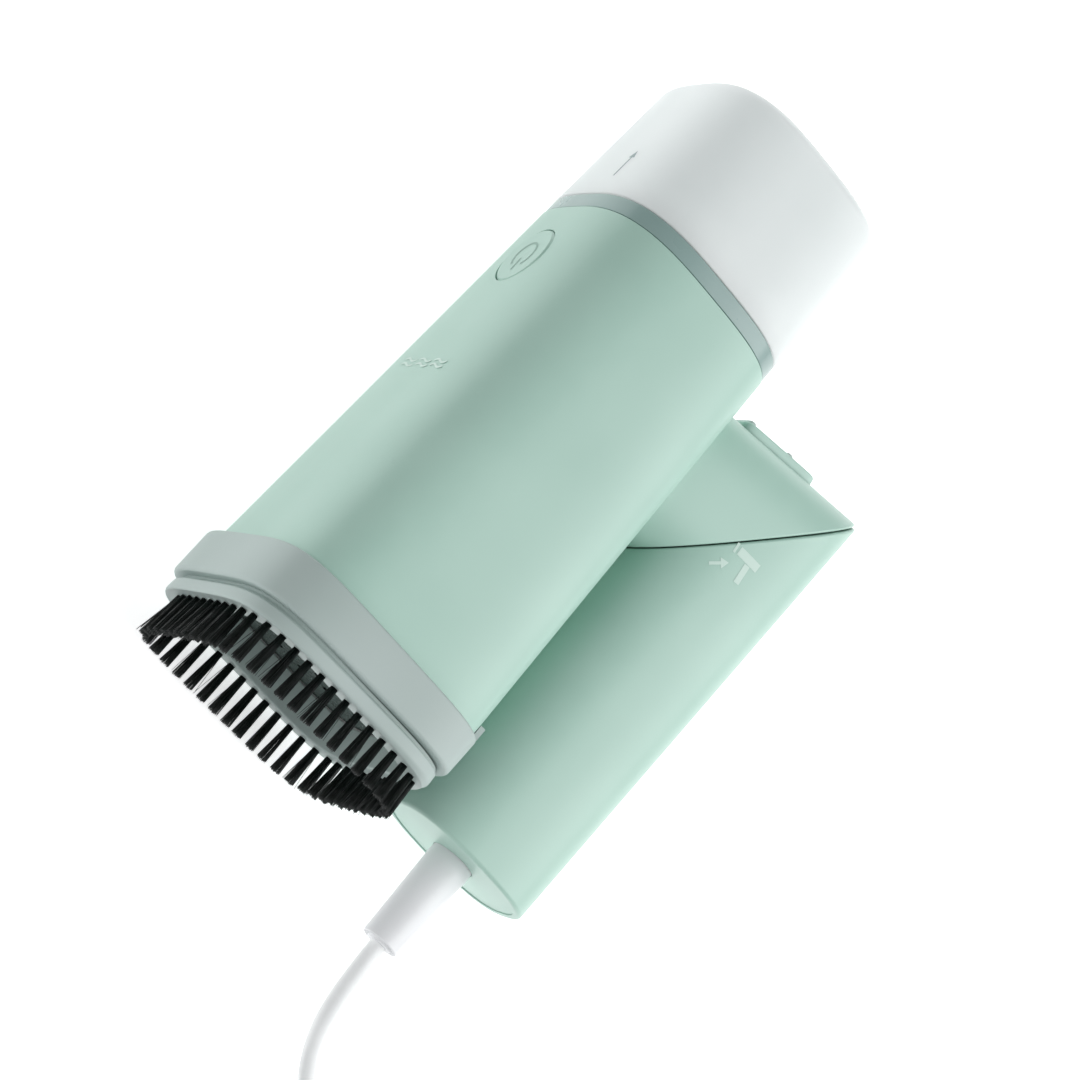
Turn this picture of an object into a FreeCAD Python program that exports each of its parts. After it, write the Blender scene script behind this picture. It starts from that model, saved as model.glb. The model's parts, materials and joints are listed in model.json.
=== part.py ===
import FreeCAD, Part
import math
import os
import Sketcher

# Folding garment steamer, lying on its side with the handle folded along the body.
# X runs along the body from the brush to the water tank, Y from the folded handle to the
# power button, and Z up from the surface that the steamer lies on.
# Each piece is drawn in a design frame whose origin is on the body's axis, at the mouth of the
# brush collar, and is then moved to the part's frame.

doc = FreeCAD.newDocument("GarmentSteamer")
Vector = FreeCAD.Vector

SIZES = [
    # alias, millimetres or a plain number, what it is
    ("half_head", 33.0, "half width of the body at the brush end"),
    ("half_dock", 31.1, "half width of the body at the tank joint"),
    ("half_tank", 29.3, "half width of the tank at its far end"),
    ("square_head", 4.6, "squareness exponent of the section at the brush end"),
    ("square_dock", 3.1, "squareness exponent of the section at the tank joint"),
    ("square_grip", 2.6, "squareness exponent of the handle's section"),
    ("collar_long", 13.0, "distance from the origin to the collar's back"),
    ("collar_front", 1.2, "distance from the origin to the collar's front"),
    ("collar_proud", 1.9, "how far the collar stands out from the body"),
    ("collar_shift", 0.6, "how far the collar is shifted towards the power button"),
    ("slide_proud", 1.3, "how far the release slide stands out from the body"),
    ("base_step", 5.2, "how far the tuft ring stands ahead of the collar"),
    ("base_proud", 0.5, "how far the tuft ring stands out from the body"),
    ("shell_end", 127.3, "distance from the origin to the end of the body shell"),
    ("band_end", 132.1, "distance to the end of the trim band"),
    ("tank_end", 175.0, "distance to the flat end of the tank"),
    ("wall", 2.0, "wall of the moulded shells"),
    ("tank_wall", 1.6, "wall of the water tank"),
    ("tank_round", 3.5, "radius round the tank's flat end"),
    ("spigot_step", 1.4, "how far the head frame's spigot is below the body's skin"),
    ("tuft_count", 50.0, "tufts round the brush"),
    ("tuft_long", 12.4, "mean length of a tuft"),
    ("tuft_side", 0.5, "how much longer the tufts are on the power button's side"),
    ("tuft_under", 0.6, "how much longer the tufts are on the lower side"),
    ("tuft_root", 0.9, "radius of a tuft at its root"),
    ("tuft_tip", 1.5, "radius of a tuft at its tip"),
    ("tuft_lean", 2.0, "outward lean of a tuft in degrees"),
    ("grip_half", 21.3, "half width of the handle across the fold"),
    ("grip_thin", 16.4, "half thickness of the handle"),
    ("grip_middle", 59.2, "distance from the body's axis to the folded handle's axis"),
    ("pivot_along", 104.7, "distance from the origin to the fold pivot"),
    ("grip_end", 4.4, "how far the handle's end reaches ahead of the origin"),
    ("cap_thick", 3.6, "thickness of the handle's end cap"),
    ("grip_round", 1.0, "radius round the handle's flat end"),
    ("fold_round", 0.5, "radius round the edges of the fold"),
    ("neck_lean", 8.5, "lean of the neck towards the brush, in degrees"),
    ("fold_gap", 0.4, "gap between neck and handle at the fold"),
    ("seam_wall", 3.0, "wall behind each face of the fold"),
    ("hub_radius", 7.0, "outer radius of the hollow pivot"),
    ("hub_bore", 4.5, "radius of the wire passage through the pivot"),
    ("hub_flange", 11.0, "radius of the pivot's flange"),
    ("hub_play", 0.06, "radial running clearance of the pivot"),
    ("ring_groove", 6.0, "radius of the pivot's groove for its retaining ring"),
    ("button_radius", 8.8, "radius of the power button"),
    ("button_along", 110.2, "distance from the origin to the power button"),
    ("button_gap", 0.25, "gap round the power button"),
    ("plate_half", 26.6, "half width of the steam plate"),
    ("plate_thick", 3.0, "thickness of the steam plate"),
    ("plate_corner", 13.0, "corner radius of the steam plate"),
    ("steam_hole", 1.2, "radius of a steam hole"),
    ("block_half", 22.0, "half width of the boiler block"),
    ("block_long", 19.0, "length of the boiler block"),
    ("chamber_half", 16.5, "half width of the steam chamber"),
    ("chamber_deep", 12.0, "depth of the steam chamber"),
    ("element_radius", 3.2, "radius of the heating element"),
    ("element_half", 14.0, "half the gap between the heating element's legs"),
    ("element_leg", 17.0, "half length of the heating element's legs"),
    ("pump_radius", 11.0, "radius of the pump's body"),
    ("pump_long", 42.0, "length of the pump's body"),
    ("port_radius", 2.4, "radius of the pump's ports"),
    ("port_long", 6.0, "length of the pump's ports"),
    ("coil_radius", 15.0, "radius of the pump's winding"),
    ("coil_long", 24.0, "length of the pump's winding"),
    ("line_offset", 6.0, "distance of the water line from the body's axis"),
    ("hose_outer", 3.6, "outer radius of the water hoses"),
    ("hose_inner", 2.45, "inner radius of the water hoses"),
    ("board_long", 62.0, "length of the control board"),
    ("board_wide", 36.0, "width of the control board"),
    ("board_thick", 1.6, "thickness of the control board"),
    ("board_height", 20.0, "distance of the control board from the body's axis"),
    ("switch_plunger", 0.45, "how far the power switch's plunger stands out"),
    ("frame_wall", 5.4, "how far the head frame's inside is below the body's skin"),
    ("frame_play", 0.35, "gap between the shell and what slides into it"),
    ("bulkhead_front", 123.0, "distance from the origin to the rear bulkhead"),
    ("bulkhead_thick", 2.0, "thickness of the rear bulkhead"),
    ("base_front", 126.4, "distance from the origin to the tank's base"),
    ("filler_across", 14.0, "distance of the filler from the body's axis"),
    ("filler_radius", 6.0, "radius of the filler's hole"),
    ("socket_outer", 4.5, "outer radius of the tank socket"),
    ("socket_inner", 2.6, "inner radius of the tank socket"),
    ("thumb_low", 29.9, "distance from the fold's outer corner to the steam button's middle"),
    ("thumb_long", 24.4, "length of the steam button"),
    ("thumb_wide", 13.0, "width of the steam button"),
    ("thumb_proud", 1.7, "how far the steam button stands out"),
    ("thumb_gap", 0.3, "gap round the steam button"),
    ("rib_half", 1.2, "half thickness of a rib on the steam button"),
    ("rib_proud", 1.1, "height of a rib on the steam button"),
    ("rib_low", 3.3, "distance of the lower rib below the steam button's middle"),
    ("rib_high", 10.0, "distance of the upper rib above the steam button's middle"),
    ("boot_long", 26.6, "length of the cord boot outside the handle"),
    ("boot_root", 6.0, "radius of the cord boot at the handle"),
    ("boot_tip", 5.1, "radius of the cord boot where the cord leaves it"),
    ("boot_flange", 8.5, "radius of the boot's flange inside the handle"),
    ("cord_radius", 2.25, "radius of the mains cord"),
    ("winding_middle", 26.5, "radius of the stored coil at the middle of its turns"),
    ("winding_half", 7.05, "half width of the stored coil's bundle"),
    ("winding_high", 17.4, "height of the stored coil's bundle"),
    ("tail_long", 26.0, "distance from the stored coil to the plug"),
    ("pin_radius", 2.4, "radius of a mains pin"),
    ("pin_spacing", 19.0, "distance between the mains pins"),
    ("pin_long", 19.0, "length of a mains pin"),
    ("plug_wide", 35.0, "width of the plug"),
    ("plug_thick", 25.0, "thickness of the plug"),
    ("plug_long", 30.0, "length of the plug's body"),
    ("plug_nose", 18.0, "length of the plug's tapered nose"),
    ("tie_thick", 0.9, "thickness of the tie round the stored coil"),
    ("tie_wide", 8.0, "width of the tie round the stored coil"),
]

sheet = doc.addObject("Spreadsheet::Sheet", "Sizes")
for row, (alias, value, meaning) in enumerate(SIZES, start=1):
    sheet.set("A%d" % row, meaning)
    sheet.set("B%d" % row, str(value))
    sheet.setAlias("B%d" % row, alias)
doc.recompute()


def size(alias):
    """A driving dimension, read back from the sheet."""
    return float(sheet.get(alias))


# Distances that several pieces share.
COLLAR_HALF = size("half_head") + size("collar_proud")
GRIP_OUTER = size("grip_middle") + size("grip_half")
BOOT_END = size("grip_end") + size("boot_long")
FLOOR = -COLLAR_HALF
PIVOT = Vector(size("pivot_along"), -size("grip_middle"), 0)
LEAN = math.radians(size("neck_lean"))
NECK_WAY = Vector(-math.sin(LEAN), math.cos(LEAN), 0)
FOLD_AXIS = (Vector(1, 0, 0) + NECK_WAY).normalize()
LIFT = Vector(
    (BOOT_END - size("tank_end")) / 2,
    (GRIP_OUTER - COLLAR_HALF - size("collar_shift")) / 2,
    -FLOOR,
)

nodes = []


def keep(piece, label):
    """Name a finished piece and move it from the design frame to the part's frame."""
    piece.Label = label
    piece.Placement = FreeCAD.Placement(LIFT, FreeCAD.Rotation()).multiply(piece.Placement)
    nodes.append(piece)
    return piece


def keep_shape(shape, label):
    """A piece whose shape comes from Part's own functions."""
    piece = doc.addObject("Part::Feature", label)
    piece.Shape = shape
    return keep(piece, label)


def turned(x_way, z_way):
    """Rotation that takes X to x_way and Z to z_way."""
    return FreeCAD.Rotation(x_way, z_way.cross(x_way), z_way, "ZXY")


ALONG_X = turned(Vector(0, 1, 0), Vector(1, 0, 0))
ALONG_Y = turned(Vector(1, 0, 0), Vector(0, 1, 0))
ALONG_FOLD = turned(Vector(0, 0, 1), FOLD_AXIS)


# ---------------------------------------------------------------- sketched pieces

def new_body(name):
    return doc.addObject("PartDesign::Body", name + "_body")


def plane_of(body, role):
    for feature in body.Origin.OriginFeatures:
        if feature.Role == role:
            return feature
    raise ValueError(role)


def new_sketch(body, role="XY_Plane", offset="0"):
    """An empty sketch on one of the body's own planes, raised by offset."""
    sketch = body.newObject("Sketcher::SketchObject", body.Name + "_sketch")
    sketch.AttachmentSupport = [(plane_of(body, role), "")]
    sketch.MapMode = "FlatFace"
    sketch.setExpression("AttachmentOffset.Base.z", offset)
    return sketch


def value_of(expression):
    """The number that an expression of sheet aliases gives, to start a constraint from."""
    return float(sheet.evalExpression(expression))


def bound(sketch, kind, *arguments):
    """Add a constraint whose size is the last argument, an expression."""
    *places, expression = arguments
    start = value_of(expression)
    if start == 0.0 and kind in ("DistanceX", "DistanceY"):
        axis = -2 if kind == "DistanceX" else -1
        sketch.addConstraint(Sketcher.Constraint("PointOnObject", places[2], places[3], axis))
        return
    index = sketch.addConstraint(Sketcher.Constraint(kind, *places, start))
    sketch.setExpression("Constraints[%d]" % index, expression)


def polygon(sketch, corners):
    """A closed outline through corners, each a pair of expressions."""
    spots = [Vector(value_of(across), value_of(up), 0) for across, up in corners]
    first = sketch.GeometryCount
    count = len(corners)
    for index in range(count):
        line = Part.LineSegment(spots[index], spots[(index + 1) % count])
        sketch.addGeometry(line, False)
    for index in range(count):
        following = first + (index + 1) % count
        sketch.addConstraint(Sketcher.Constraint("Coincident", first + index, 2, following, 1))
    for index, (across, up) in enumerate(corners):
        bound(sketch, "DistanceX", -1, 1, first + index, 1, across)
        bound(sketch, "DistanceY", -1, 1, first + index, 1, up)


def rectangle(sketch, half_across, half_up, across="0", up="0"):
    low = "(%s) - (%s)"
    high = "(%s) + (%s)"
    polygon(sketch, [
        (low % (across, half_across), low % (up, half_up)),
        (high % (across, half_across), low % (up, half_up)),
        (high % (across, half_across), high % (up, half_up)),
        (low % (across, half_across), high % (up, half_up)),
    ])


def circle(sketch, radius, across="0", up="0"):
    centre = Vector(value_of(across), value_of(up), 0)
    index = sketch.addGeometry(Part.Circle(centre, Vector(0, 0, 1), value_of(radius)), False)
    bound(sketch, "DistanceX", -1, 1, index, 3, across)
    bound(sketch, "DistanceY", -1, 1, index, 3, up)
    bound(sketch, "Radius", index, radius)


def pad(body, sketch, length):
    feature = body.newObject("PartDesign::Pad", body.Name + "_pad")
    feature.Profile = sketch
    feature.setExpression("Length", length)
    sketch.Visibility = False
    doc.recompute()
    return feature


def pocket(body, sketch, depth, reverse=False):
    """Cut a pocket, and make sure that it took something away."""
    before = body.Shape.Volume
    feature = body.newObject("PartDesign::Pocket", body.Name + "_pocket")
    feature.Profile = sketch
    feature.setExpression("Length", depth)
    feature.Reversed = reverse
    doc.recompute()
    if not body.Shape.Volume < before - 1e-3:
        raise RuntimeError("pocket cuts nothing in " + body.Name)
    return feature


def soften(body, kind, radius, chosen):
    """Fillet or chamfer the edges of the body that chosen(edge) accepts."""
    base = body.Tip
    names = []
    for index, edge in enumerate(base.Shape.Edges, start=1):
        if chosen(edge):
            names.append("Edge%d" % index)
    feature = body.newObject("PartDesign::" + kind, body.Name + "_" + kind.lower())
    feature.Base = (base, names)
    feature.setExpression("Radius" if kind == "Fillet" else "Size", radius)
    doc.recompute()
    return feature


def upright(edge):
    """True for a straight edge along the body's own Z."""
    if not isinstance(edge.Curve, Part.Line):
        return False
    return abs(edge.Curve.Direction.z) > 0.999


def lathe(label, outline, origin, turn):
    """A turned piece: outline is (distance along the axis, radius) in expressions."""
    body = new_body(label)
    sketch = new_sketch(body, "XZ_Plane")
    polygon(sketch, [(radius, along) for along, radius in outline])
    feature = body.newObject("PartDesign::Revolution", label + "_revolution")
    feature.Profile = sketch
    feature.ReferenceAxis = (sketch, ["V_Axis"])
    feature.Angle = 360
    doc.recompute()
    body.Placement = FreeCAD.Placement(origin, turn)
    return keep(body, label)


def ring(label, inner, outer, long, origin, turn):
    """A plain turned ring or tube."""
    outline = [("0", inner), (long, inner), (long, outer), ("0", outer)]
    return lathe(label, outline, origin, turn)


# ---------------------------------------------------------------- rounded-square shells

SECTION_POINTS = 64


def rounded_square(half_a, half_b, squareness, centre, way_a, way_b):
    """A closed curve |a/half_a|^n + |b/half_b|^n = 1 about centre."""
    spots = []
    for step in range(SECTION_POINTS):
        angle = 2 * math.pi * step / SECTION_POINTS
        a = half_a * math.copysign(abs(math.cos(angle)) ** (2 / squareness), math.cos(angle))
        b = half_b * math.copysign(abs(math.sin(angle)) ** (2 / squareness), math.sin(angle))
        spots.append(centre + way_a * a + way_b * b)
    curve = Part.BSplineCurve()
    curve.interpolate(Points=spots, PeriodicFlag=True)
    return Part.Wire([curve.toShape()])


def body_half(along):
    """Half width of the body and tank at a distance from the origin."""
    if along <= size("shell_end"):
        share = (along - size("collar_long")) / (size("shell_end") - size("collar_long"))
        share = max(share, 0.0)
        return size("half_head") + share * (size("half_dock") - size("half_head"))
    share = (along - size("shell_end")) / (size("tank_end") - size("shell_end"))
    return size("half_dock") + share * (size("half_tank") - size("half_dock"))


def body_squareness(along):
    """Squareness of the section, which softens from the brush to the tank joint."""
    share = (along - size("collar_long")) / (size("shell_end") - size("collar_long"))
    share = min(max(share, 0.0), 1.0)
    return size("square_head") + share * (size("square_dock") - size("square_head"))


def body_slug(start, end, inset):
    """Solid stretch of the body's form, inset from its skin."""
    wires = []
    for along in (start, end):
        half = body_half(along) - inset
        wires.append(rounded_square(half, half, body_squareness(along), Vector(along, 0, 0),
                                    Vector(0, 1, 0), Vector(0, 0, 1)))
    return Part.makeLoft(wires, True, True)


def body_ring(start, end, outer_inset, inner_inset):
    """Hollow stretch of the body's form, open at both ends."""
    return body_slug(start, end, outer_inset).cut(body_slug(start - 1, end + 1, inner_inset))


def grip_slug(start, end, inset):
    """Solid stretch of the folded handle's form."""
    wires = []
    for along in (start, end):
        wires.append(rounded_square(size("grip_half") - inset, size("grip_thin") - inset,
                                    size("square_grip"),
                                    Vector(along, -size("grip_middle"), 0),
                                    Vector(0, 1, 0), Vector(0, 0, 1)))
    return Part.makeLoft(wires, True, True)


def neck_slug(inset):
    """Solid form of the neck, from beyond the fold up into the body."""
    wires = []
    across = Vector(NECK_WAY.y, -NECK_WAY.x, 0)
    for reach in (-30, 36):
        wires.append(rounded_square(size("grip_half") - inset, size("grip_thin") - inset,
                                    size("square_grip"), PIVOT + NECK_WAY * reach,
                                    across, Vector(0, 0, 1)))
    return Part.makeLoft(wires, True, True)


def beyond_fold(distance, side):
    """Block that fills one side of the fold plane, starting at distance along its axis."""
    reach = 400.0
    block = Part.makeBox(reach, reach, reach, Vector(-reach / 2, -reach / 2, 0))
    if side < 0:
        block.translate(Vector(0, 0, -reach))
    block.translate(Vector(0, 0, distance))
    block.Placement = FreeCAD.Placement(PIVOT, ALONG_FOLD).multiply(block.Placement)
    return block


def fold_cylinder(radius, start, end):
    """Cylinder about the fold axis between two distances from the pivot."""
    return Part.makeCylinder(radius, end - start, PIVOT + FOLD_AXIS * start, FOLD_AXIS)


def rounded_end(shape, along, radius):
    """Round the outer edge of the flat face that lies at a distance along the body."""
    outer_edge = None
    for edge in shape.Edges:
        box = edge.BoundBox
        if abs(box.XMin - along) < 0.01 and abs(box.XMax - along) < 0.01:
            if outer_edge is None or box.YLength > outer_edge.BoundBox.YLength:
                outer_edge = edge
    return shape.makeFillet(radius, [outer_edge])


# ---------------------------------------------------------------- body

def thumb_place():
    """Centre of the steam button on the neck's rear face, the way up the face and out of it."""
    out = Vector(NECK_WAY.y, -NECK_WAY.x, 0)
    down_to_corner = size("grip_half") * FOLD_AXIS.y / FOLD_AXIS.x
    corner = PIVOT + out * size("grip_half") - NECK_WAY * down_to_corner
    return corner + NECK_WAY * size("thumb_low"), NECK_WAY, out


def make_body_shell():
    start = size("collar_long")
    shell = body_ring(start, size("shell_end"), 0, size("wall"))
    hole = size("button_radius") + size("button_gap")
    button = Vector(size("button_along"), size("half_dock") - 8, 0)
    shell = shell.cut(Part.makeCylinder(hole, 12, button, Vector(0, 1, 0)))
    passage = Vector(size("pivot_along") - 4, -size("half_head") - 2, 0)
    shell = shell.cut(Part.makeCylinder(size("hub_bore") + 2, 8, passage, Vector(0, 1, 0)))
    keep_shape(shell, "body_shell")


def make_head_frame():
    """Frame in the body's mouth: a spigot for the brush, and a sleeve inside the shell."""
    spigot_front = size("collar_front") + 2.0
    sleeve_long = 9.0
    start = size("collar_long")
    sleeve_end = start + sleeve_long
    spigot = body_slug(spigot_front, start, size("spigot_step"))
    sleeve = body_slug(start, sleeve_end, size("wall") + size("frame_play"))
    inside = body_slug(spigot_front - 1, sleeve_end + 1, size("frame_wall"))
    keep_shape(spigot.fuse(sleeve).removeSplitter().cut(inside), "head_frame")


def make_rear_bulkhead():
    """Wall across the rear of the shell that carries the tank socket."""
    front = size("bulkhead_front")
    thick = size("bulkhead_thick")
    wall = body_slug(front, front + thick, size("wall") + size("frame_play"))
    centre = Vector(front - 1, -size("line_offset"), 0)
    hole = Part.makeCylinder(size("socket_outer") + 0.05, thick + 2, centre, Vector(1, 0, 0))
    keep_shape(wall.cut(hole), "rear_bulkhead")


def make_trim_band():
    start = size("shell_end") + 0.1
    keep_shape(body_ring(start, size("band_end"), 0.0, 2.4), "trim_band")


def make_tank():
    """Water tank: an open-fronted shell closed by a base that plugs into the body."""
    start = size("band_end") + 0.25
    end = size("tank_end")
    outer = rounded_end(body_slug(start, end, 0), end, size("tank_round"))
    inner_end = end - size("tank_wall")
    inner = body_slug(start - 1, inner_end, size("tank_wall"))
    inner = rounded_end(inner, inner_end, size("tank_round") - size("tank_wall"))
    keep_shape(outer.cut(inner), "tank_shell")

    front = size("base_front")
    seat = start + 4
    base_inset = 3.0
    through = seat - front + 2
    valve_radius = 2.3
    socket_deep = 6.4
    base = body_slug(front, seat, base_inset)
    line = Vector(front - 1, -size("line_offset"), 0)
    socket_room = size("socket_outer") + 1.3
    base = base.cut(Part.makeCylinder(socket_room, socket_deep + 1, line, Vector(1, 0, 0)))
    base = base.cut(Part.makeCylinder(valve_radius, through, line, Vector(1, 0, 0)))
    filler = Vector(front - 1, size("filler_across"), 0)
    base = base.cut(Part.makeCylinder(size("filler_radius"), through, filler, Vector(1, 0, 0)))
    keep_shape(base, "tank_base")
    gasket = body_ring(start + 1, start + 3.2, size("tank_wall") + 0.03, base_inset - 0.05)
    keep_shape(gasket, "tank_gasket")

    lathe("filler_stopper", [("0", "0"), ("1.1", "0"), ("10", "0"),
                             ("10", "Sizes.filler_radius - 0.05"),
                             ("1.1", "Sizes.filler_radius - 0.05"),
                             ("1.1", "Sizes.filler_radius + 1.5"),
                             ("0", "Sizes.filler_radius + 1.5")],
          Vector(front - 1.1, size("filler_across"), 0), ALONG_X)
    stem = 4.9
    lathe("tank_valve", [("0", "0"), ("8.6", "0"), ("8.6", "4.6"), ("7.2", "4.6"),
                         ("7.2", "2.2"), ("0", "2.2")],
          Vector(seat - stem, -size("line_offset"), 0), ALONG_X)
    ring("valve_spring", "2.9", "3.9", "2.2", Vector(seat + 0.05, -size("line_offset"), 0),
         ALONG_X)


def make_socket():
    """Socket in the bulkhead that the tank's valve seats on, and its seal."""
    socket_front = 110.6
    line = Vector(socket_front, -size("line_offset"), 0)
    lathe("tank_socket", [("0", "Sizes.socket_inner - 1"), ("18.2", "Sizes.socket_inner - 1"),
                          ("18.2", "Sizes.socket_outer"), ("7", "Sizes.socket_outer"),
                          ("7", "Sizes.port_radius"), ("0", "Sizes.port_radius")],
          line, ALONG_X)
    ring("socket_seal", "Sizes.socket_outer", "Sizes.socket_outer + 1.2", "1.8",
         Vector(size("base_front"), -size("line_offset"), 0), ALONG_X)


def make_power_button():
    """Round button in the skin, and the switch on the board that it presses."""
    surface = body_half(size("button_along"))
    button_deep = 6.15
    lathe("power_button", [("0", "0"), ("6.3", "0"), ("6.3", "Sizes.button_radius - 0.5"),
                           ("5.8", "Sizes.button_radius"), ("3.4", "Sizes.button_radius"),
                           ("3.4", "Sizes.button_radius + 1"), ("2.4", "Sizes.button_radius + 1"),
                           ("2.4", "2.2"), ("0", "2.2")],
          Vector(size("button_along"), surface - button_deep, 0), ALONG_Y)
    body = new_body("button_switch")
    sketch = new_sketch(body)
    rectangle(sketch, "3.1", "3.1")
    pad(body, sketch, "2.4")
    plunger = new_sketch(body, offset="2.4")
    circle(plunger, "1.7")
    pad(body, plunger, "Sizes.switch_plunger")
    height = size("board_height") + size("board_thick")
    body.Placement = FreeCAD.Placement(Vector(size("button_along"), height, 0), ALONG_Y)
    keep(body, "button_switch")


def make_control_board():
    """Board with four fixing holes and its three largest components."""
    behind_button = 26.0
    body = new_body("control_board")
    sketch = new_sketch(body)
    rectangle(sketch, "Sizes.board_long / 2", "Sizes.board_wide / 2")
    for across in ("-1", "1"):
        for up in ("-1", "1"):
            circle(sketch, "1.6", across + " * (Sizes.board_long / 2 - 4)",
                   up + " * (Sizes.board_wide / 2 - 4)")
    pad(body, sketch, "Sizes.board_thick")
    parts = new_sketch(body, offset="Sizes.board_thick")
    rectangle(parts, "6", "5", "-20", "6")
    rectangle(parts, "4", "4", "-4", "-8")
    rectangle(parts, "5", "3", "10", "9")
    pad(body, parts, "4.5")
    centre = Vector(size("button_along") - behind_button, size("board_height"), 0)
    body.Placement = FreeCAD.Placement(centre, ALONG_Y)
    keep(body, "control_board")


# ---------------------------------------------------------------- steam works

PLATE_FRONT = 5.0
GASKET_THICK = 1.2
BOILER_FRONT = PLATE_FRONT + size("plate_thick") + GASKET_THICK
PUMP_FRONT = 62.0
SCREW_OFFSET = size("chamber_half") + 2.75


def make_steam_plate():
    """Plate that closes the boiler, with three rings of steam holes."""
    body = new_body("steam_plate")
    sketch = new_sketch(body)
    rectangle(sketch, "Sizes.plate_half", "Sizes.plate_half")
    pad(body, sketch, "Sizes.plate_thick")
    soften(body, "Fillet", "Sizes.plate_corner", upright)
    for radius, count in (("6", 5), ("12", 9), ("18", 14)):
        hole = new_sketch(body, offset="Sizes.plate_thick")
        circle(hole, "Sizes.steam_hole", radius, "0")
        cut = pocket(body, hole, "Sizes.plate_thick + 1")
        pattern = body.newObject("PartDesign::PolarPattern", "steam_holes")
        pattern.Originals = [cut]
        pattern.Axis = (hole, ["N_Axis"])
        pattern.Angle = 360
        pattern.Occurrences = count
        body.Tip = pattern
        doc.recompute()
    body.Placement = FreeCAD.Placement(Vector(PLATE_FRONT, 0, 0), ALONG_X)
    keep(body, "steam_plate")
    body = new_body("plate_gasket")
    sketch = new_sketch(body)
    rectangle(sketch, "Sizes.plate_half - 3", "Sizes.plate_half - 3")
    rectangle(sketch, "Sizes.block_half - 2", "Sizes.block_half - 2")
    pad(body, sketch, str(GASKET_THICK))
    soften(body, "Fillet", "5", upright)
    back = PLATE_FRONT + size("plate_thick")
    body.Placement = FreeCAD.Placement(Vector(back, 0, 0), ALONG_X)
    keep(body, "plate_gasket")


def make_boiler():
    """Boiler block with its screws, heating element, thermostat, fuse and heat shield."""
    front = BOILER_FRONT
    body = new_body("boiler_block")
    sketch = new_sketch(body)
    rectangle(sketch, "Sizes.block_half", "Sizes.block_half")
    pad(body, sketch, "Sizes.block_long")
    soften(body, "Fillet", "4", upright)
    chamber = new_sketch(body)
    rectangle(chamber, "Sizes.chamber_half", "Sizes.chamber_half")
    pocket(body, chamber, "Sizes.chamber_deep", reverse=True)
    inlet = new_sketch(body, offset="Sizes.block_long")
    circle(inlet, "Sizes.port_radius", "Sizes.line_offset", "0")
    pad(body, inlet, "Sizes.port_long")
    bore = new_sketch(body, offset="Sizes.block_long + Sizes.port_long")
    circle(bore, "1.2", "Sizes.line_offset", "0")
    pocket(body, bore, "Sizes.port_long + Sizes.block_long - Sizes.chamber_deep + 1")
    threads = new_sketch(body, offset="Sizes.block_long")
    for across in ("-1", "1"):
        for up in ("-1", "1"):
            circle(threads, "1.6", across + " * (Sizes.chamber_half + 2.75)",
                   up + " * (Sizes.chamber_half + 2.75)")
    pocket(body, threads, "10")
    body.Placement = FreeCAD.Placement(Vector(front, 0, 0), ALONG_X)
    keep(body, "boiler_block")

    back = front + size("block_long")
    screws = []
    for across in (-1, 1):
        for up in (-1, 1):
            spot = Vector(back, across * SCREW_OFFSET, up * SCREW_OFFSET)
            shank_long = 9.0
            start = spot - Vector(shank_long, 0, 0)
            shank = Part.makeCylinder(1.5, shank_long, start, Vector(1, 0, 0))
            head = Part.makeCylinder(2.9, 2.2, spot, Vector(1, 0, 0))
            screws.append(shank.fuse(head).removeSplitter())
    keep_shape(Part.makeCompound(screws), "boiler_screws")

    middle = back + size("element_radius")
    legs = size("element_half")
    reach = size("element_leg")
    path = [Vector(middle, legs, reach), Vector(middle, legs, -reach + legs),
            Vector(middle, -legs, -reach + legs), Vector(middle, -legs, reach)]
    bend = Part.Arc(path[1], Vector(middle, 0, -reach), path[2])
    wire = Part.Wire([Part.LineSegment(path[0], path[1]).toShape(), bend.toShape(),
                      Part.LineSegment(path[2], path[3]).toShape()])
    profile = Part.Wire([Part.makeCircle(size("element_radius"), path[0], Vector(0, 0, 1))])
    keep_shape(wire.makePipeShell([profile], True, False), "heating_element")

    lathe("thermostat", [("0", "0"), ("5.2", "0"), ("5.2", "5"), ("2.2", "5"), ("2.2", "7.8"),
                         ("0", "7.8")],
          Vector(front + 11, size("block_half"), 0), ALONG_Y)
    lathe("thermal_fuse", [("0", "0"), ("11", "0"), ("11", "2"), ("0", "2")],
          Vector(front + 4, -size("block_half") - 2, 0), ALONG_X)
    shield_start = 24.0
    shield_end = 46.0
    keep_shape(body_ring(shield_start, shield_end, 3.4, 4.0), "heat_shield")


def make_pump():
    """Solenoid pump with its winding, two rubber mounts and the hose from the tank's socket."""
    line = Vector(PUMP_FRONT, -size("line_offset"), 0)
    lathe("pump_body", [
        ("-Sizes.port_long", "1.2"), ("Sizes.pump_long + Sizes.port_long", "1.2"),
        ("Sizes.pump_long + Sizes.port_long", "Sizes.port_radius"),
        ("Sizes.pump_long", "Sizes.port_radius"), ("Sizes.pump_long", "Sizes.pump_radius"),
        ("0", "Sizes.pump_radius"), ("0", "Sizes.port_radius"),
        ("-Sizes.port_long", "Sizes.port_radius"),
    ], line, ALONG_X)
    ring("pump_winding", "Sizes.pump_radius", "Sizes.coil_radius", "Sizes.coil_long",
         line + Vector(8, 0, 0), ALONG_X)
    for name, shift in (("pump_mount_front", 2.0), ("pump_mount_rear", 36.0)):
        body = new_body(name)
        sketch = new_sketch(body)
        rectangle(sketch, "14", "18")
        circle(sketch, "Sizes.pump_radius")
        pad(body, sketch, "4")
        soften(body, "Chamfer", "2", upright)
        body.Placement = FreeCAD.Placement(line + Vector(shift, 0, 0), ALONG_X)
        keep(body, name)
    hose_front = 106.0
    ring("inlet_hose", "Sizes.hose_inner", "Sizes.hose_outer", "10.8",
         Vector(hose_front, -size("line_offset"), 0), ALONG_X)


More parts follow.
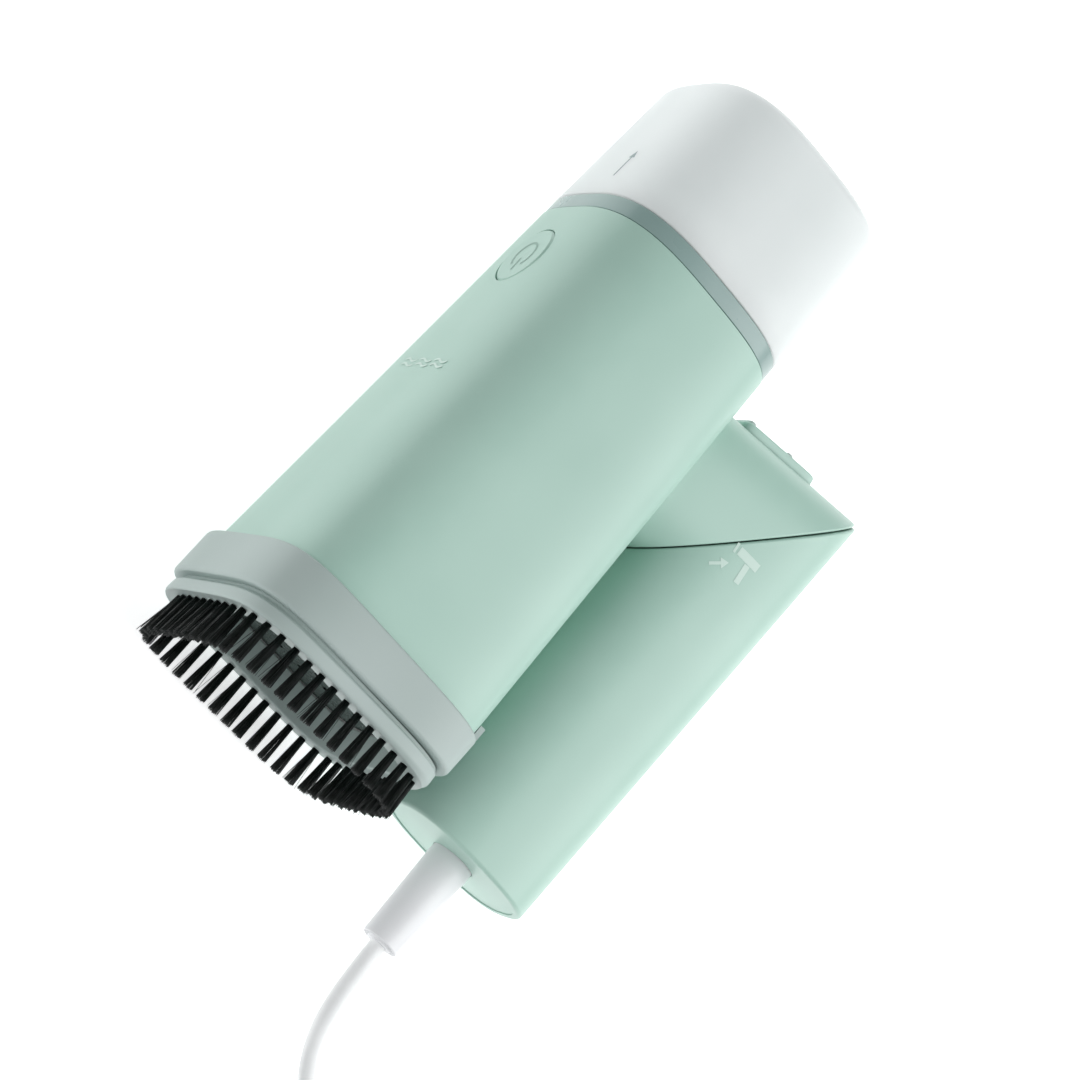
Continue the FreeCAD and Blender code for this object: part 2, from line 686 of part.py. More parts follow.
def rounded_path(points, share=0.45):
    """Straight runs through points joined by tangent arcs, and the arcs' radii."""
    edges = []
    radii = []
    start = points[0]
    for before, corner, after in zip(points, points[1:], points[2:]):
        way_in = (corner - before).normalize()
        way_out = (after - corner).normalize()
        turn = way_in.getAngle(way_out)
        reach = share * min((corner - before).Length, (after - corner).Length)
        radius = reach / math.tan(turn / 2)
        first = corner - way_in * reach
        last = corner + way_out * reach
        inward = (way_out - way_in).normalize()
        depth = radius / math.cos(turn / 2) - radius
        edges.append(Part.LineSegment(start, first).toShape())
        edges.append(Part.Arc(first, corner + inward * depth, last).toShape())
        radii.append(radius)
        start = last
    edges.append(Part.LineSegment(start, points[-1]).toShape())
    return Part.Wire(edges), radii


def round_tube(points, radius):
    """Solid round tube along a rounded path, with its length and its bends' radii."""
    wire, radii = rounded_path(points)
    profile = Part.Wire([Part.makeCircle(radius, points[0], points[1] - points[0])])
    tube = wire.makePipeShell([profile], True, False)
    expected = math.pi * radius ** 2 * wire.Length
    if abs(tube.Volume - expected) > 0.01 * expected:
        raise RuntimeError("tube volume is wrong")
    return tube, wire.Length, radii


def make_outlet_hose():
    """Hose from the pump's front port to the boiler's inlet."""
    level = size("line_offset")
    start = PUMP_FRONT - size("port_long") + 4
    finish = BOILER_FRONT + size("block_long") + 2
    points = [Vector(start, -level, 0), Vector(50.5, -level, 0), Vector(41.5, level, 0),
              Vector(finish, level, 0)]
    outer = round_tube(points, size("hose_outer"))[0]
    inner = round_tube(points, size("hose_inner"))[0]
    keep_shape(outer.cut(inner), "outlet_hose")


# ---------------------------------------------------------------- brush attachment

def make_brush():
    """Collar that grips the head frame, the stepped ring ahead of it, and its tufts."""
    front = size("collar_front")
    end = size("collar_long")
    front_wall = 1.6
    aside = Vector(0, size("collar_shift"), 0)
    outer = body_slug(front, end, -size("collar_proud"))
    outer.translate(aside)
    inner = body_slug(front + front_wall, end + 1, size("spigot_step") - 0.2)
    mouth = body_slug(front - 1, front + front_wall + 1, 4.6)
    keep_shape(outer.cut(inner).cut(mouth), "brush_collar")
    base_front = front - size("base_step")
    base = body_slug(base_front, front - 0.05, -size("base_proud"))
    base = rounded_end(base, base_front, 1.4)
    base.translate(aside)
    keep_shape(base.cut(body_slug(base_front - 1, front + 1, 5.6)), "brush_base")

    tufts = []
    tuft_inset = 2.2
    half = body_half(0) - tuft_inset
    count = int(size("tuft_count"))
    middle = Vector(base_front, size("collar_shift") / 2, 0)
    track = rounded_square(half, half, size("square_head"), middle,
                           Vector(0, 1, 0), Vector(0, 0, 1))
    lean = math.radians(size("tuft_lean"))
    for spot in track.discretize(count + 1)[:-1]:
        outward = Vector(0, spot.y, spot.z).normalize()
        way = Vector(-math.cos(lean), 0, 0) + outward * math.sin(lean)
        long = size("tuft_long") + size("tuft_side") * spot.y / half
        long -= size("tuft_under") * spot.z / half
        tufts.append(Part.makeCone(size("tuft_root"), size("tuft_tip"), long, spot, way))
    keep_shape(Part.makeCompound(tufts), "brush_tufts")


def make_release_tab():
    """Curved slide behind the collar, on the handle's side."""
    start = size("collar_long") + 0.3
    play = 0.15
    half_wide = 25.5
    sleeve = body_ring(start, start + 3.4, -size("slide_proud"), -play)
    room = Part.makeBox(10, 40, 2 * half_wide, Vector(start - 1, -50, -half_wide))
    keep_shape(sleeve.common(room), "release_tab")


# ---------------------------------------------------------------- neck and handle

def soft_fold(shape, distance):
    """Round the edge of the face that lies at a distance along the fold's axis."""
    face_at = PIVOT.dot(FOLD_AXIS) + distance
    chosen = []
    for edge in shape.Edges:
        spots = [edge.valueAt(edge.getParameterByLength(edge.Length * share))
                 for share in (0.1, 0.5, 0.9)]
        if all(abs(spot.dot(FOLD_AXIS) - face_at) < 0.01 for spot in spots):
            chosen.append(edge)
    return shape.makeFillet(size("fold_round"), chosen)


def make_neck():
    """Neck from the fold up to the body, hollow, with a slot for the steam button."""
    gap = size("fold_gap") / 2
    outer = soft_fold(neck_slug(0).common(beyond_fold(gap, 1)), gap)
    outer = outer.cut(body_slug(size("collar_long"), size("shell_end"), 0))
    hollow = neck_slug(size("wall")).common(beyond_fold(gap + size("seam_wall"), 1))
    shell = outer.cut(hollow)
    shell = shell.cut(fold_cylinder(size("hub_radius"), -5, 10))
    centre, up, out = thumb_place()
    slot_long = size("thumb_long") + 2 * size("thumb_gap")
    slot_wide = size("thumb_wide") + 2 * size("thumb_gap")
    slot = Part.makeBox(slot_long, slot_wide, 8, Vector(-slot_long / 2, -slot_wide / 2, -5))
    slot.Placement = FreeCAD.Placement(centre, turned(up, out)).multiply(slot.Placement)
    keep_shape(shell.cut(slot), "neck_shell")


def make_steam_button():
    """Key on the neck's rear face with two ribs across it, and the switch behind it."""
    centre, up, out = thumb_place()
    body = new_body("steam_button")
    flange = new_sketch(body)
    rectangle(flange, "Sizes.thumb_long / 2 + 1", "Sizes.thumb_wide / 2 + 1")
    pad(body, flange, "1")
    cap = new_sketch(body, offset="1")
    rectangle(cap, "Sizes.thumb_long / 2", "Sizes.thumb_wide / 2")
    pad(body, cap, "3.9 + Sizes.thumb_proud")
    top = value_of("4.9 + Sizes.thumb_proud")
    soften(body, "Fillet", "1.2", lambda edge: abs(edge.BoundBox.ZMin - top) < 0.01)
    ribs = new_sketch(body, offset="4.9 + Sizes.thumb_proud")
    for along in ("Sizes.rib_high", "-Sizes.rib_low"):
        rectangle(ribs, "Sizes.rib_half", "Sizes.thumb_wide / 2 - 1.4", along)
    pad(body, ribs, "Sizes.rib_proud")
    key_deep = 4.9
    body.Placement = FreeCAD.Placement(centre - out * key_deep, turned(up, out))
    keep(body, "steam_button")

    body = new_body("steam_switch")
    sketch = new_sketch(body)
    rectangle(sketch, "6.4", "2.9")
    pad(body, sketch, "6.5")
    plunger = new_sketch(body, offset="6.5")
    circle(plunger, "1.2", "-3", "0")
    pad(body, plunger, "0.8")
    body.Placement = FreeCAD.Placement(centre + up * 6 - out * 13.6, turned(up, out))
    keep(body, "steam_switch")


def make_pivot():
    """Hollow pivot of the fold with its washer and retaining ring."""
    gap = size("fold_gap") / 2
    wall = size("seam_wall")
    origin = PIVOT - FOLD_AXIS * 6.5
    inner_face = "(6.5 + Sizes.fold_gap / 2 + Sizes.seam_wall)"
    lathe("pivot_hub", [
        ("0", "Sizes.hub_bore"), (inner_face + " + 2", "Sizes.hub_bore"),
        (inner_face + " + 2", "Sizes.hub_flange"), (inner_face, "Sizes.hub_flange"),
        (inner_face, "Sizes.hub_radius"), ("2.1", "Sizes.hub_radius"),
        ("2.1", "Sizes.ring_groove"), ("0.9", "Sizes.ring_groove"),
        ("0.9", "Sizes.hub_radius"), ("0", "Sizes.hub_radius"),
    ], origin, ALONG_FOLD)
    ring("pivot_washer", "Sizes.hub_radius + Sizes.hub_play", "Sizes.hub_flange", "1.0",
         PIVOT - FOLD_AXIS * (gap + wall + 1.02), ALONG_FOLD)
    ring("retaining_ring", "Sizes.ring_groove", "Sizes.hub_radius + 2.4", "1.0",
         origin + FOLD_AXIS * 1.0, ALONG_FOLD)


def make_handle():
    """Handle shell with its end plate, and the clamp and lead inside it."""
    gap = size("fold_gap") / 2
    end = -size("grip_end")
    beyond = 140.0
    outer = rounded_end(grip_slug(end, beyond, 0), end, size("grip_round"))
    outer = soft_fold(outer.common(beyond_fold(-gap, -1)), -gap)
    hollow = grip_slug(end - 5, beyond, size("wall"))
    hollow = hollow.common(beyond_fold(-gap - size("seam_wall"), -1))
    shell = outer.cut(hollow)
    shell = shell.cut(fold_cylinder(size("hub_radius") + size("hub_play"), -6, 5))
    keep_shape(shell, "handle_shell")

    cap_back = end + size("cap_thick")
    cap = grip_slug(end + 0.25, cap_back, size("wall") + 0.12)
    middle = Vector(end - 1, -size("grip_middle"), 0)
    bore = Part.makeCylinder(size("boot_root") + 0.1, 10, middle, Vector(1, 0, 0))
    keep_shape(cap.cut(bore), "handle_end_cap")

    clamp_along = 12.0
    clamp_at = Vector(clamp_along, -size("grip_middle"), -size("grip_thin") + size("wall") + 0.3)
    body = new_body("cord_clamp")
    sketch = new_sketch(body)
    rectangle(sketch, "4", "6.5")
    pad(body, sketch, "Sizes.grip_thin - Sizes.wall - 0.3 - Sizes.cord_radius - 0.05")
    body.Placement = FreeCAD.Placement(clamp_at, FreeCAD.Rotation())
    keep(body, "cord_clamp")
    body = new_body("clamp_bar")
    sketch = new_sketch(body)
    rectangle(sketch, "3", "8.5")
    pad(body, sketch, "3")
    above = Vector(clamp_along, -size("grip_middle"), size("cord_radius") + 0.05)
    body.Placement = FreeCAD.Placement(above, FreeCAD.Rotation())
    keep(body, "clamp_bar")
    lead_start = Vector(cap_back + 3, -size("grip_middle"), 0)
    lead = Part.makeCylinder(size("cord_radius"), 76, lead_start, Vector(1, 0, 0))
    keep_shape(lead, "inner_lead")


# ---------------------------------------------------------------- mains cord

def make_cord():
    """Strain relief, and the stretch of cord from it to the stored coil."""
    middle = Vector(-BOOT_END, -size("grip_middle"), 0)
    lathe("cord_boot", [
        ("0", "0"), ("Sizes.boot_long + Sizes.cap_thick + 2.6", "0"),
        ("Sizes.boot_long + Sizes.cap_thick + 2.6", "Sizes.boot_flange"),
        ("Sizes.boot_long + Sizes.cap_thick + 0.2", "Sizes.boot_flange"),
        ("Sizes.boot_long + Sizes.cap_thick + 0.2", "Sizes.boot_root"),
        ("Sizes.boot_long", "Sizes.boot_root"), ("0", "Sizes.boot_tip"),
    ], middle, ALONG_X)

    # The route, from the boot down to the surface and on to the stored coil.
    rest = FLOOR + size("cord_radius")
    route = [
        middle,
        Vector(-43, -60.3, -1.5),
        Vector(-54, -65.2, -7.5),
        Vector(-62, -74, -16),
        Vector(-67.5, -86, -25),
        Vector(-74, -99.5, rest),
        Vector(-84.5, -113, rest),
    ]
    tube, long, radii = round_tube(route, size("cord_radius"))
    keep_shape(tube, "cord_tube")
    print("cord tube length", round(long, 1), "radii", [round(radius, 1) for radius in radii])
    return route


def make_stored_cord(route):
    """Coil, tie and plug of the cord that is put away beside the steamer."""
    heading = (route[-1] - route[-2]).normalize()
    outer_turn = size("winding_middle") + size("winding_half") - size("cord_radius") - 0.3
    middle = route[-1] + Vector(heading.y, -heading.x, 0) * outer_turn
    coil_place = Vector(middle.x, middle.y, FLOOR)
    body = new_body("cord_coil")
    sketch = new_sketch(body)
    circle(sketch, "Sizes.winding_middle + Sizes.winding_half")
    circle(sketch, "Sizes.winding_middle - Sizes.winding_half")
    pad(body, sketch, "Sizes.winding_high")
    soften(body, "Fillet", "4", lambda edge: not upright(edge))
    body.Placement = FreeCAD.Placement(coil_place, FreeCAD.Rotation())
    keep(body, "cord_coil")

    thick = size("tie_thick")
    width = 2 * size("winding_half")
    start = size("winding_middle") - size("winding_half")
    loop = Part.makeBox(width + 2 * thick, size("tie_wide"), size("winding_high") + thick,
                        Vector(start - thick, -size("tie_wide") / 2, 0))
    space = Part.makeBox(width, size("tie_wide"), size("winding_high"),
                         Vector(start, -size("tie_wide") / 2, 0))
    tie = loop.cut(space)
    tie.Placement = FreeCAD.Placement(coil_place, FreeCAD.Rotation(Vector(0, 0, 1), 75))
    keep_shape(tie, "coil_tie")

    # The last turn leaves the top of the coil and comes down a little to the plug.
    top = size("winding_high") - size("cord_radius") - 0.3
    last_turn = size("winding_middle") + size("cord_radius")
    leaves = coil_place + Vector(-last_turn, 0, top)
    plug_height = size("plug_thick") / 2
    nose = Vector(leaves.x, leaves.y + size("tail_long"), FLOOR + plug_height)
    way = (nose - leaves).normalize()
    tail = Part.makeCylinder(size("cord_radius"), (nose - leaves).Length, leaves, way)
    keep_shape(tail, "cord_tail")

    along = turned(Vector(1, 0, 0), Vector(0, 1, 0))
    back = nose + Vector(0, size("plug_nose"), 0)
    lathe("plug_nose", [("0", "0"), ("Sizes.plug_nose", "0"), ("Sizes.plug_nose", "7"),
                        ("0", "3.6")], nose, along)
    body = new_body("plug_body")
    sketch = new_sketch(body)
    rectangle(sketch, "Sizes.plug_wide / 2", "Sizes.plug_thick / 2")
    pad(body, sketch, "Sizes.plug_long")
    soften(body, "Fillet", "9", upright)
    body.Placement = FreeCAD.Placement(back, along)
    keep(body, "plug_body")
    pins = []
    for side in (-1, 1):
        spot = back + Vector(side * size("pin_spacing") / 2, size("plug_long"), 0)
        pins.append(Part.makeCylinder(size("pin_radius"), size("pin_long"), spot,
                                      Vector(0, 1, 0)))
    keep_shape(Part.makeCompound(pins), "plug_pins")


make_body_shell()
make_head_frame()
make_rear_bulkhead()
make_trim_band()
make_tank()
make_socket()
make_power_button()
make_control_board()
make_steam_plate()
make_boiler()
make_pump()
make_outlet_hose()
make_brush()
make_release_tab()
make_neck()
make_steam_button()
make_pivot()
make_handle()
make_stored_cord(make_cord())

doc.recompute()
for thing in doc.Objects:
    if "Invalid" in thing.State or "Error" in thing.State:
        raise RuntimeError("%s failed: %s" % (thing.Label, thing.State))
for piece in nodes:
    if piece.Shape.isNull() or not piece.Shape.isValid():
        raise RuntimeError("%s has no valid shape" % piece.Label)

os.makedirs("parts", exist_ok=True)
for piece in nodes:
    piece.Shape.exportStep(os.path.join("parts", piece.Label + ".step"))
print(len(nodes), "nodes written")
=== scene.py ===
import json
import math
import random

import bpy
from mathutils import Euler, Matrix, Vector


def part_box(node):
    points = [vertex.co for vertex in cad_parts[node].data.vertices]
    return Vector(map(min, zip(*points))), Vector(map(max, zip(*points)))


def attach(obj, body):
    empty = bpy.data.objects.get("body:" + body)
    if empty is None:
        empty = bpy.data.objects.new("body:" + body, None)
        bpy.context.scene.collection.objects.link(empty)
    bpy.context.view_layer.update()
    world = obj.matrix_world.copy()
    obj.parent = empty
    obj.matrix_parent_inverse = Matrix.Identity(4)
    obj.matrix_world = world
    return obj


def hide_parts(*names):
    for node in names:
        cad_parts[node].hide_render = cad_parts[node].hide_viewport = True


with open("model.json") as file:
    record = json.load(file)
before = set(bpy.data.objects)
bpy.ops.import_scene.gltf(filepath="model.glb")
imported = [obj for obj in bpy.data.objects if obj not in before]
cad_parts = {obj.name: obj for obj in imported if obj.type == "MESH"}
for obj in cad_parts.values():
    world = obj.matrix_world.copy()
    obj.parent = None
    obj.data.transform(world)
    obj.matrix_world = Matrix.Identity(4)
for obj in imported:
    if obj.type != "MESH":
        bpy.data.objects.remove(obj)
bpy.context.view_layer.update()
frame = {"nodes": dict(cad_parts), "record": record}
nodes = frame["nodes"]

# The steamer's body runs along X, lying on its side. Its form is a rounded square whose size and
# squareness change from the brush to the tank. Places along it count from FRONT, on the body's
# axis and just ahead of the brush collar.
COLLAR_FRONT = 0.0012
COLLAR_PROUD = 0.0019
COLLAR_SHIFT = 0.0006
collar_low, collar_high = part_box("brush_collar")
collar_middle = (collar_low + collar_high) / 2
FRONT = Vector((collar_low.x - COLLAR_FRONT, collar_middle.y - COLLAR_SHIFT, collar_middle.z))
HALF_HEAD = 0.0330
HALF_DOCK = 0.0311
HALF_TANK = 0.0293
SQUARE_HEAD = 4.6
SQUARE_DOCK = 3.1
COLLAR_LONG = 0.0130
SHELL_END = 0.1273
BAND_END = 0.1321
TANK_END = 0.1750
BASE_FRONT = -0.0040
BASE_PROUD = 0.0005
BRUSH_SLANT = 0.0009
BUTTON_ALONG = 0.1102
AROUND = 256

# The handle lies beside the body, on its -Y side. Its section is a flat rounded oval.
GRIP_MIDDLE = -0.0592
GRIP_HALF = 0.0213
GRIP_THIN = 0.0164
SQUARE_GRIP = 2.6
PIVOT = Vector((0.1047, GRIP_MIDDLE, 0.0))
NECK_LEAN = math.radians(8.5)


# ---------------------------------------------------------------- materials

RAMP_LOW = 0.32
RAMP_HIGH = 0.68
GLOSS_LOW = 0.3
GLOSS_HIGH = 0.7
GLOSS_DRIFT = 4


def new_material(name):
    material = bpy.data.materials.new(name)
    material.use_nodes = True
    tree = material.node_tree
    return material, tree, tree.nodes["Principled BSDF"]


def noise(tree, scale, stretch=(1, 1, 1)):
    """Noise in the object's own space, with scale in features per metre."""
    place = tree.nodes.new("ShaderNodeTexCoord")
    mapping = tree.nodes.new("ShaderNodeMapping")
    mapping.inputs["Scale"].default_value = stretch
    texture = tree.nodes.new("ShaderNodeTexNoise")
    texture.inputs["Scale"].default_value = scale
    texture.inputs["Detail"].default_value = 3.0
    texture.inputs["Roughness"].default_value = 0.5
    tree.links.new(place.outputs["Object"], mapping.inputs["Vector"])
    tree.links.new(mapping.outputs["Vector"], texture.inputs["Vector"])
    return texture.outputs["Fac"]


def mottle(tree, shader, dark, light, scale):
    """Base colour that drifts between two near tones."""
    ramp = tree.nodes.new("ShaderNodeValToRGB")
    ramp.color_ramp.elements[0].position = RAMP_LOW
    ramp.color_ramp.elements[1].position = RAMP_HIGH
    ramp.color_ramp.elements[0].color = (*dark, 1)
    ramp.color_ramp.elements[1].color = (*light, 1)
    tree.links.new(noise(tree, scale), ramp.inputs["Fac"])
    tree.links.new(ramp.outputs["Color"], shader.inputs["Base Color"])


def uneven_gloss(tree, shader, gloss, scale):
    """Roughness that drifts between the two values of gloss."""
    spread = tree.nodes.new("ShaderNodeMapRange")
    spread.inputs["From Min"].default_value = GLOSS_LOW
    spread.inputs["From Max"].default_value = GLOSS_HIGH
    spread.inputs["To Min"].default_value = gloss[0]
    spread.inputs["To Max"].default_value = gloss[1]
    tree.links.new(noise(tree, scale), spread.inputs["Value"])
    tree.links.new(spread.outputs["Result"], shader.inputs["Roughness"])


def grain(tree, shader, scale, depth, strength, stretch):
    """Fine relief, depth metres high."""
    bump = tree.nodes.new("ShaderNodeBump")
    bump.inputs["Strength"].default_value = strength
    bump.inputs["Distance"].default_value = depth
    tree.links.new(noise(tree, scale, stretch), bump.inputs["Height"])
    tree.links.new(bump.outputs["Normal"], shader.inputs["Normal"])


def finish(made, name, dark, light, gloss, drift=30.0, texture=2200.0, depth=0.00002, strength=0.5,
           metal=0.0, coat=0.0, coat_roughness=0.15, specular=0.5, stretch=(1, 1, 1)):
    """Add a moulded or metal finish: two near tones, uneven gloss and a fine grain."""
    material, tree, shader = new_material(name)
    mottle(tree, shader, dark, light, drift)
    uneven_gloss(tree, shader, gloss, drift * GLOSS_DRIFT)
    grain(tree, shader, texture, depth, strength, stretch)
    shader.inputs["Metallic"].default_value = metal
    shader.inputs["Specular IOR Level"].default_value = specular
    shader.inputs["Coat Weight"].default_value = coat
    shader.inputs["Coat Roughness"].default_value = coat_roughness
    made[name] = material
    return shader


def tone(red, green, blue):
    """A display colour from 0 to 255 as scene-linear numbers."""
    linear = []
    for part in (red, green, blue):
        share = part / 255
        linear.append(share / 12.92 if share <= 0.04045 else ((share + 0.055) / 1.055) ** 2.4)
    return tuple(linear)


def shell_finishes(made):
    """The coloured outside: shell, trim, buttons, band and tank."""
    finish(made, "mint_shell", tone(169, 203, 190), tone(175, 208, 195), (0.40, 0.47), coat=0.26,
           coat_roughness=0.34)
    finish(made, "grey_trim", tone(170, 185, 181), tone(177, 191, 188), (0.42, 0.50))
    finish(made, "button_grey", tone(178, 207, 196), tone(184, 212, 202), (0.38, 0.45))
    finish(made, "dome_grey", tone(184, 196, 192), tone(192, 203, 200), (0.30, 0.40))
    finish(made, "gloss_band", tone(138, 164, 160), tone(146, 171, 167), (0.26, 0.34),
           texture=900.0, depth=0.000008, coat=0.3)
    shader = finish(made, "frosted_tank", tone(224, 232, 231), tone(230, 237, 236), (0.42, 0.55),
                    texture=3200.0)
    # Painted glow: a faint white emission on the tank brightens its faces, standing in for light
    # passing through the frosted wall.
    shader.inputs["Emission Color"].default_value = (0.90, 0.95, 0.95, 1)
    shader.inputs["Emission Strength"].default_value = 0.12
    shader.inputs["Subsurface Weight"].default_value = 0.6
    shader.inputs["Subsurface Radius"].default_value = (1.0, 1.0, 1.0)
    shader.inputs["Subsurface Scale"].default_value = 0.014


def soft_finishes(made):
    """Plastics, rubber and bristle: the brush, the cord and the small inner parts."""
    finish(made, "white_plastic", tone(222, 225, 224), tone(230, 232, 231), (0.40, 0.50))
    finish(made, "black_plastic", tone(26, 27, 28), tone(36, 37, 38), (0.45, 0.58))
    finish(made, "board_green", tone(24, 84, 52), tone(32, 102, 62), (0.3, 0.42), drift=240.0)
    finish(made, "bristle", tone(6, 14, 12), tone(14, 26, 22), (0.30, 0.45), drift=900.0,
           texture=5000.0, specular=0.35)
    finish(made, "cord_white", tone(240, 242, 242), tone(246, 248, 248), (0.42, 0.52),
           drift=120.0, texture=1500.0, depth=0.00004)
    finish(made, "white_boot", tone(236, 237, 239), tone(241, 242, 244), (0.38, 0.46))
    finish(made, "tie_black", tone(28, 29, 30), tone(40, 41, 42), (0.6, 0.75), texture=1800.0,
           depth=0.00012, strength=0.8)
    shader = finish(made, "silicone", tone(205, 208, 206), tone(218, 220, 218), (0.5, 0.62))
    shader.inputs["Subsurface Weight"].default_value = 0.2
    shader.inputs["Subsurface Scale"].default_value = 0.002


def metal_finishes(made):
    finish(made, "steam_metal", tone(96, 108, 104), tone(132, 142, 139), (0.18, 0.32),
           drift=160.0, metal=0.9)
    finish(made, "cast_metal", tone(150, 152, 153), tone(172, 173, 174), (0.45, 0.62),
           drift=260.0, depth=0.00008, metal=0.9)
    finish(made, "steel", tone(170, 172, 175), tone(192, 194, 196), (0.22, 0.34), drift=200.0,
           metal=1.0, stretch=(1, 1, 12))
    finish(made, "copper", tone(178, 104, 62), tone(202, 126, 80), (0.28, 0.4), drift=300.0,
           metal=1.0)
    finish(made, "plated_pin", tone(176, 170, 156), tone(198, 192, 178), (0.16, 0.28),
           drift=300.0, metal=1.0)


def print_finishes(made):
    """Inks of the printed marks."""
    finish(made, "pale_print", tone(203, 226, 216), tone(211, 232, 223), (0.45, 0.55))
    finish(made, "dark_print", tone(140, 172, 160), tone(148, 180, 168), (0.45, 0.55))
    finish(made, "grey_print", tone(150, 166, 168), tone(158, 174, 175), (0.45, 0.55))


def make_finishes():
    """The record's material slots by name, with a few more for ribs and printed marks."""
    made = {}
    shell_finishes(made)
    soft_finishes(made)
    metal_finishes(made)
    print_finishes(made)
    return made


def paint_nodes(finishes):
    """Give each node the finish of its material slot in the record."""
    for entry in frame["record"]["subparts"]:
        mesh = nodes[entry["node"]].data
        mesh.materials.clear()
        mesh.materials.append(finishes[entry["material_slot"]])


# ---------------------------------------------------------------- camera, floor and light

CAMERA_PLACE = (-0.25544, 0.31673, 0.80512)
CAMERA_TURN = (-3.573, -27.323, -43.927)
CAMERA_LENS = 120.03
SENSOR_WIDTH = 36.0
NEAR_CLIP = 0.01
LIGHT_AIM = Vector((0.0, 0.0, 0.03))
FLOOR_REACH = 6.0
FLOOR_DROP = 0.0003
FLOOR_GLOW = 0.60
SKY_STRENGTH = 0.27
# Name, place, width and power of each soft box.
SOFT_BOXES = [
    ("box_handle_side", (0.25, -0.98, 0.95), 1.5, 17.5),
    ("box_button_side", (-0.35, 1.00, 0.70), 0.8, 3.4),
    ("box_front", (-1.2, -0.1, 0.7), 0.7, 1.5),
]


def make_camera():
    camera = bpy.data.objects.new("camera", bpy.data.cameras.new("camera"))
    camera.location = CAMERA_PLACE
    camera.rotation_euler = Euler([math.radians(angle) for angle in CAMERA_TURN], "XYZ")
    camera.data.sensor_width = SENSOR_WIDTH
    camera.data.lens = CAMERA_LENS
    camera.data.clip_start = NEAR_CLIP
    bpy.context.scene.collection.objects.link(camera)
    bpy.context.scene.camera = camera


def make_light(name, place, size, power):
    """Soft box that faces the middle of the object."""
    data = bpy.data.lights.new(name, "AREA")
    data.shape = "DISK"
    data.size = size
    data.energy = power
    light = bpy.data.objects.new(name, data)
    light.location = place
    light.rotation_euler = (LIGHT_AIM - Vector(place)).to_track_quat("-Z", "Y").to_euler()
    bpy.context.scene.collection.objects.link(light)


def make_floor():
    """Plain pale floor, just under the object."""
    reach = FLOOR_REACH
    corners = [(-reach, -reach, 0), (reach, -reach, 0), (reach, reach, 0), (-reach, reach, 0)]
    mesh = bpy.data.meshes.new("floor")
    mesh.from_pydata(corners, [], [(0, 1, 2, 3)])
    floor = bpy.data.objects.new("floor", mesh)
    floor.location.z = -FLOOR_DROP
    bpy.context.scene.collection.objects.link(floor)
    material, tree, shader = new_material("floor_paper")
    mottle(tree, shader, (0.93, 0.935, 0.935), (0.96, 0.96, 0.96), 6.0)
    shader.inputs["Roughness"].default_value = 0.9
    shader.inputs["Specular IOR Level"].default_value = 0.1
    shader.inputs["Emission Color"].default_value = (1, 1, 1, 1)
    shader.inputs["Emission Strength"].default_value = FLOOR_GLOW
    mesh.materials.append(material)


def make_studio():
    """An even sky and soft boxes on three sides."""
    world = bpy.data.worlds.new("studio")
    world.use_nodes = True
    sky = world.node_tree.nodes["Background"]
    sky.inputs["Color"].default_value = (0.96, 0.98, 1.0, 1)
    sky.inputs["Strength"].default_value = SKY_STRENGTH
    bpy.context.scene.world = world
    for name, place, size, power in SOFT_BOXES:
        make_light(name, place, size, power)


# ---------------------------------------------------------------- mesh helpers

def add_piece(name, points, faces, body, material, stands_for=()):
    """A smooth mesh piece in the frame's own coordinates that rides on a body."""
    mesh = bpy.data.meshes.new(name)
    mesh.from_pydata([tuple(point) for point in points], [], faces)
    mesh.validate()
    mesh.polygons.foreach_set("use_smooth", [True] * len(mesh.polygons))
    mesh.materials.append(material)
    piece = bpy.data.objects.new(name, mesh)
    bpy.context.scene.collection.objects.link(piece)
    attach(piece, body)
    if stands_for:
        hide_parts(*stands_for)
    return piece


def weigh_normals(piece):
    """Keep flat faces flat beside their rounded edges."""
    modifier = piece.modifiers.new("weighted", "WEIGHTED_NORMAL")
    modifier.mode = "FACE_AREA"
    modifier.weight = 100


def clamp(value):
    """The value, held between 0 and 1."""
    return min(max(value, 0.0), 1.0)


def strip_faces(rings, count, closed=False):
    """Quads between neighbouring rings of count points each."""
    faces = []
    last = rings if closed else rings - 1
    for ring in range(last):
        low = ring * count
        high = (ring + 1) % rings * count
        for step in range(count):
            beside = (step + 1) % count
            faces.append((low + step, low + beside, high + beside, high + step))
    return faces


def capped_faces(rings, count):
    """Quads between neighbouring rings, with a flat face over each end."""
    faces = strip_faces(rings, count)
    faces.append(tuple(reversed(range(count))))
    faces.append(tuple(range((rings - 1) * count, rings * count)))
    return faces


def curve_point(start, corner, end, share):
    """Point on the short curve that rounds a corner."""
    return start * (1 - share) ** 2 + corner * 2 * share * (1 - share) + end * share ** 2


def eased(corners):
    """A closed profile whose corners, each (along, inset, radius), become short curves."""
    steps = 5
    points = []
    for index, (along, inset, radius) in enumerate(corners):
        here = Vector((along, inset))
        before = Vector(corners[index - 1][:2])
        after = Vector(corners[(index + 1) % len(corners)][:2])
        start = here + (before - here).normalized() * radius
        end = here + (after - here).normalized() * radius
        for step in range(steps + 1):
            points.append(curve_point(start, here, end, step / steps))
    return points


def eased_outline(corners):
    """An open outline whose inner corners, each (along, radius, easing), become short curves."""
    steps = 4
    points = [Vector(corners[0][:2])]
    for before, here, after in zip(corners, corners[1:], corners[2:]):
        spot = Vector(here[:2])
        start = spot + (Vector(before[:2]) - spot).normalized() * here[2]
        end = spot + (Vector(after[:2]) - spot).normalized() * here[2]
        for step in range(steps + 1):
            points.append(curve_point(start, spot, end, step / steps))
    points.append(Vector(corners[-1][:2]))
    return points


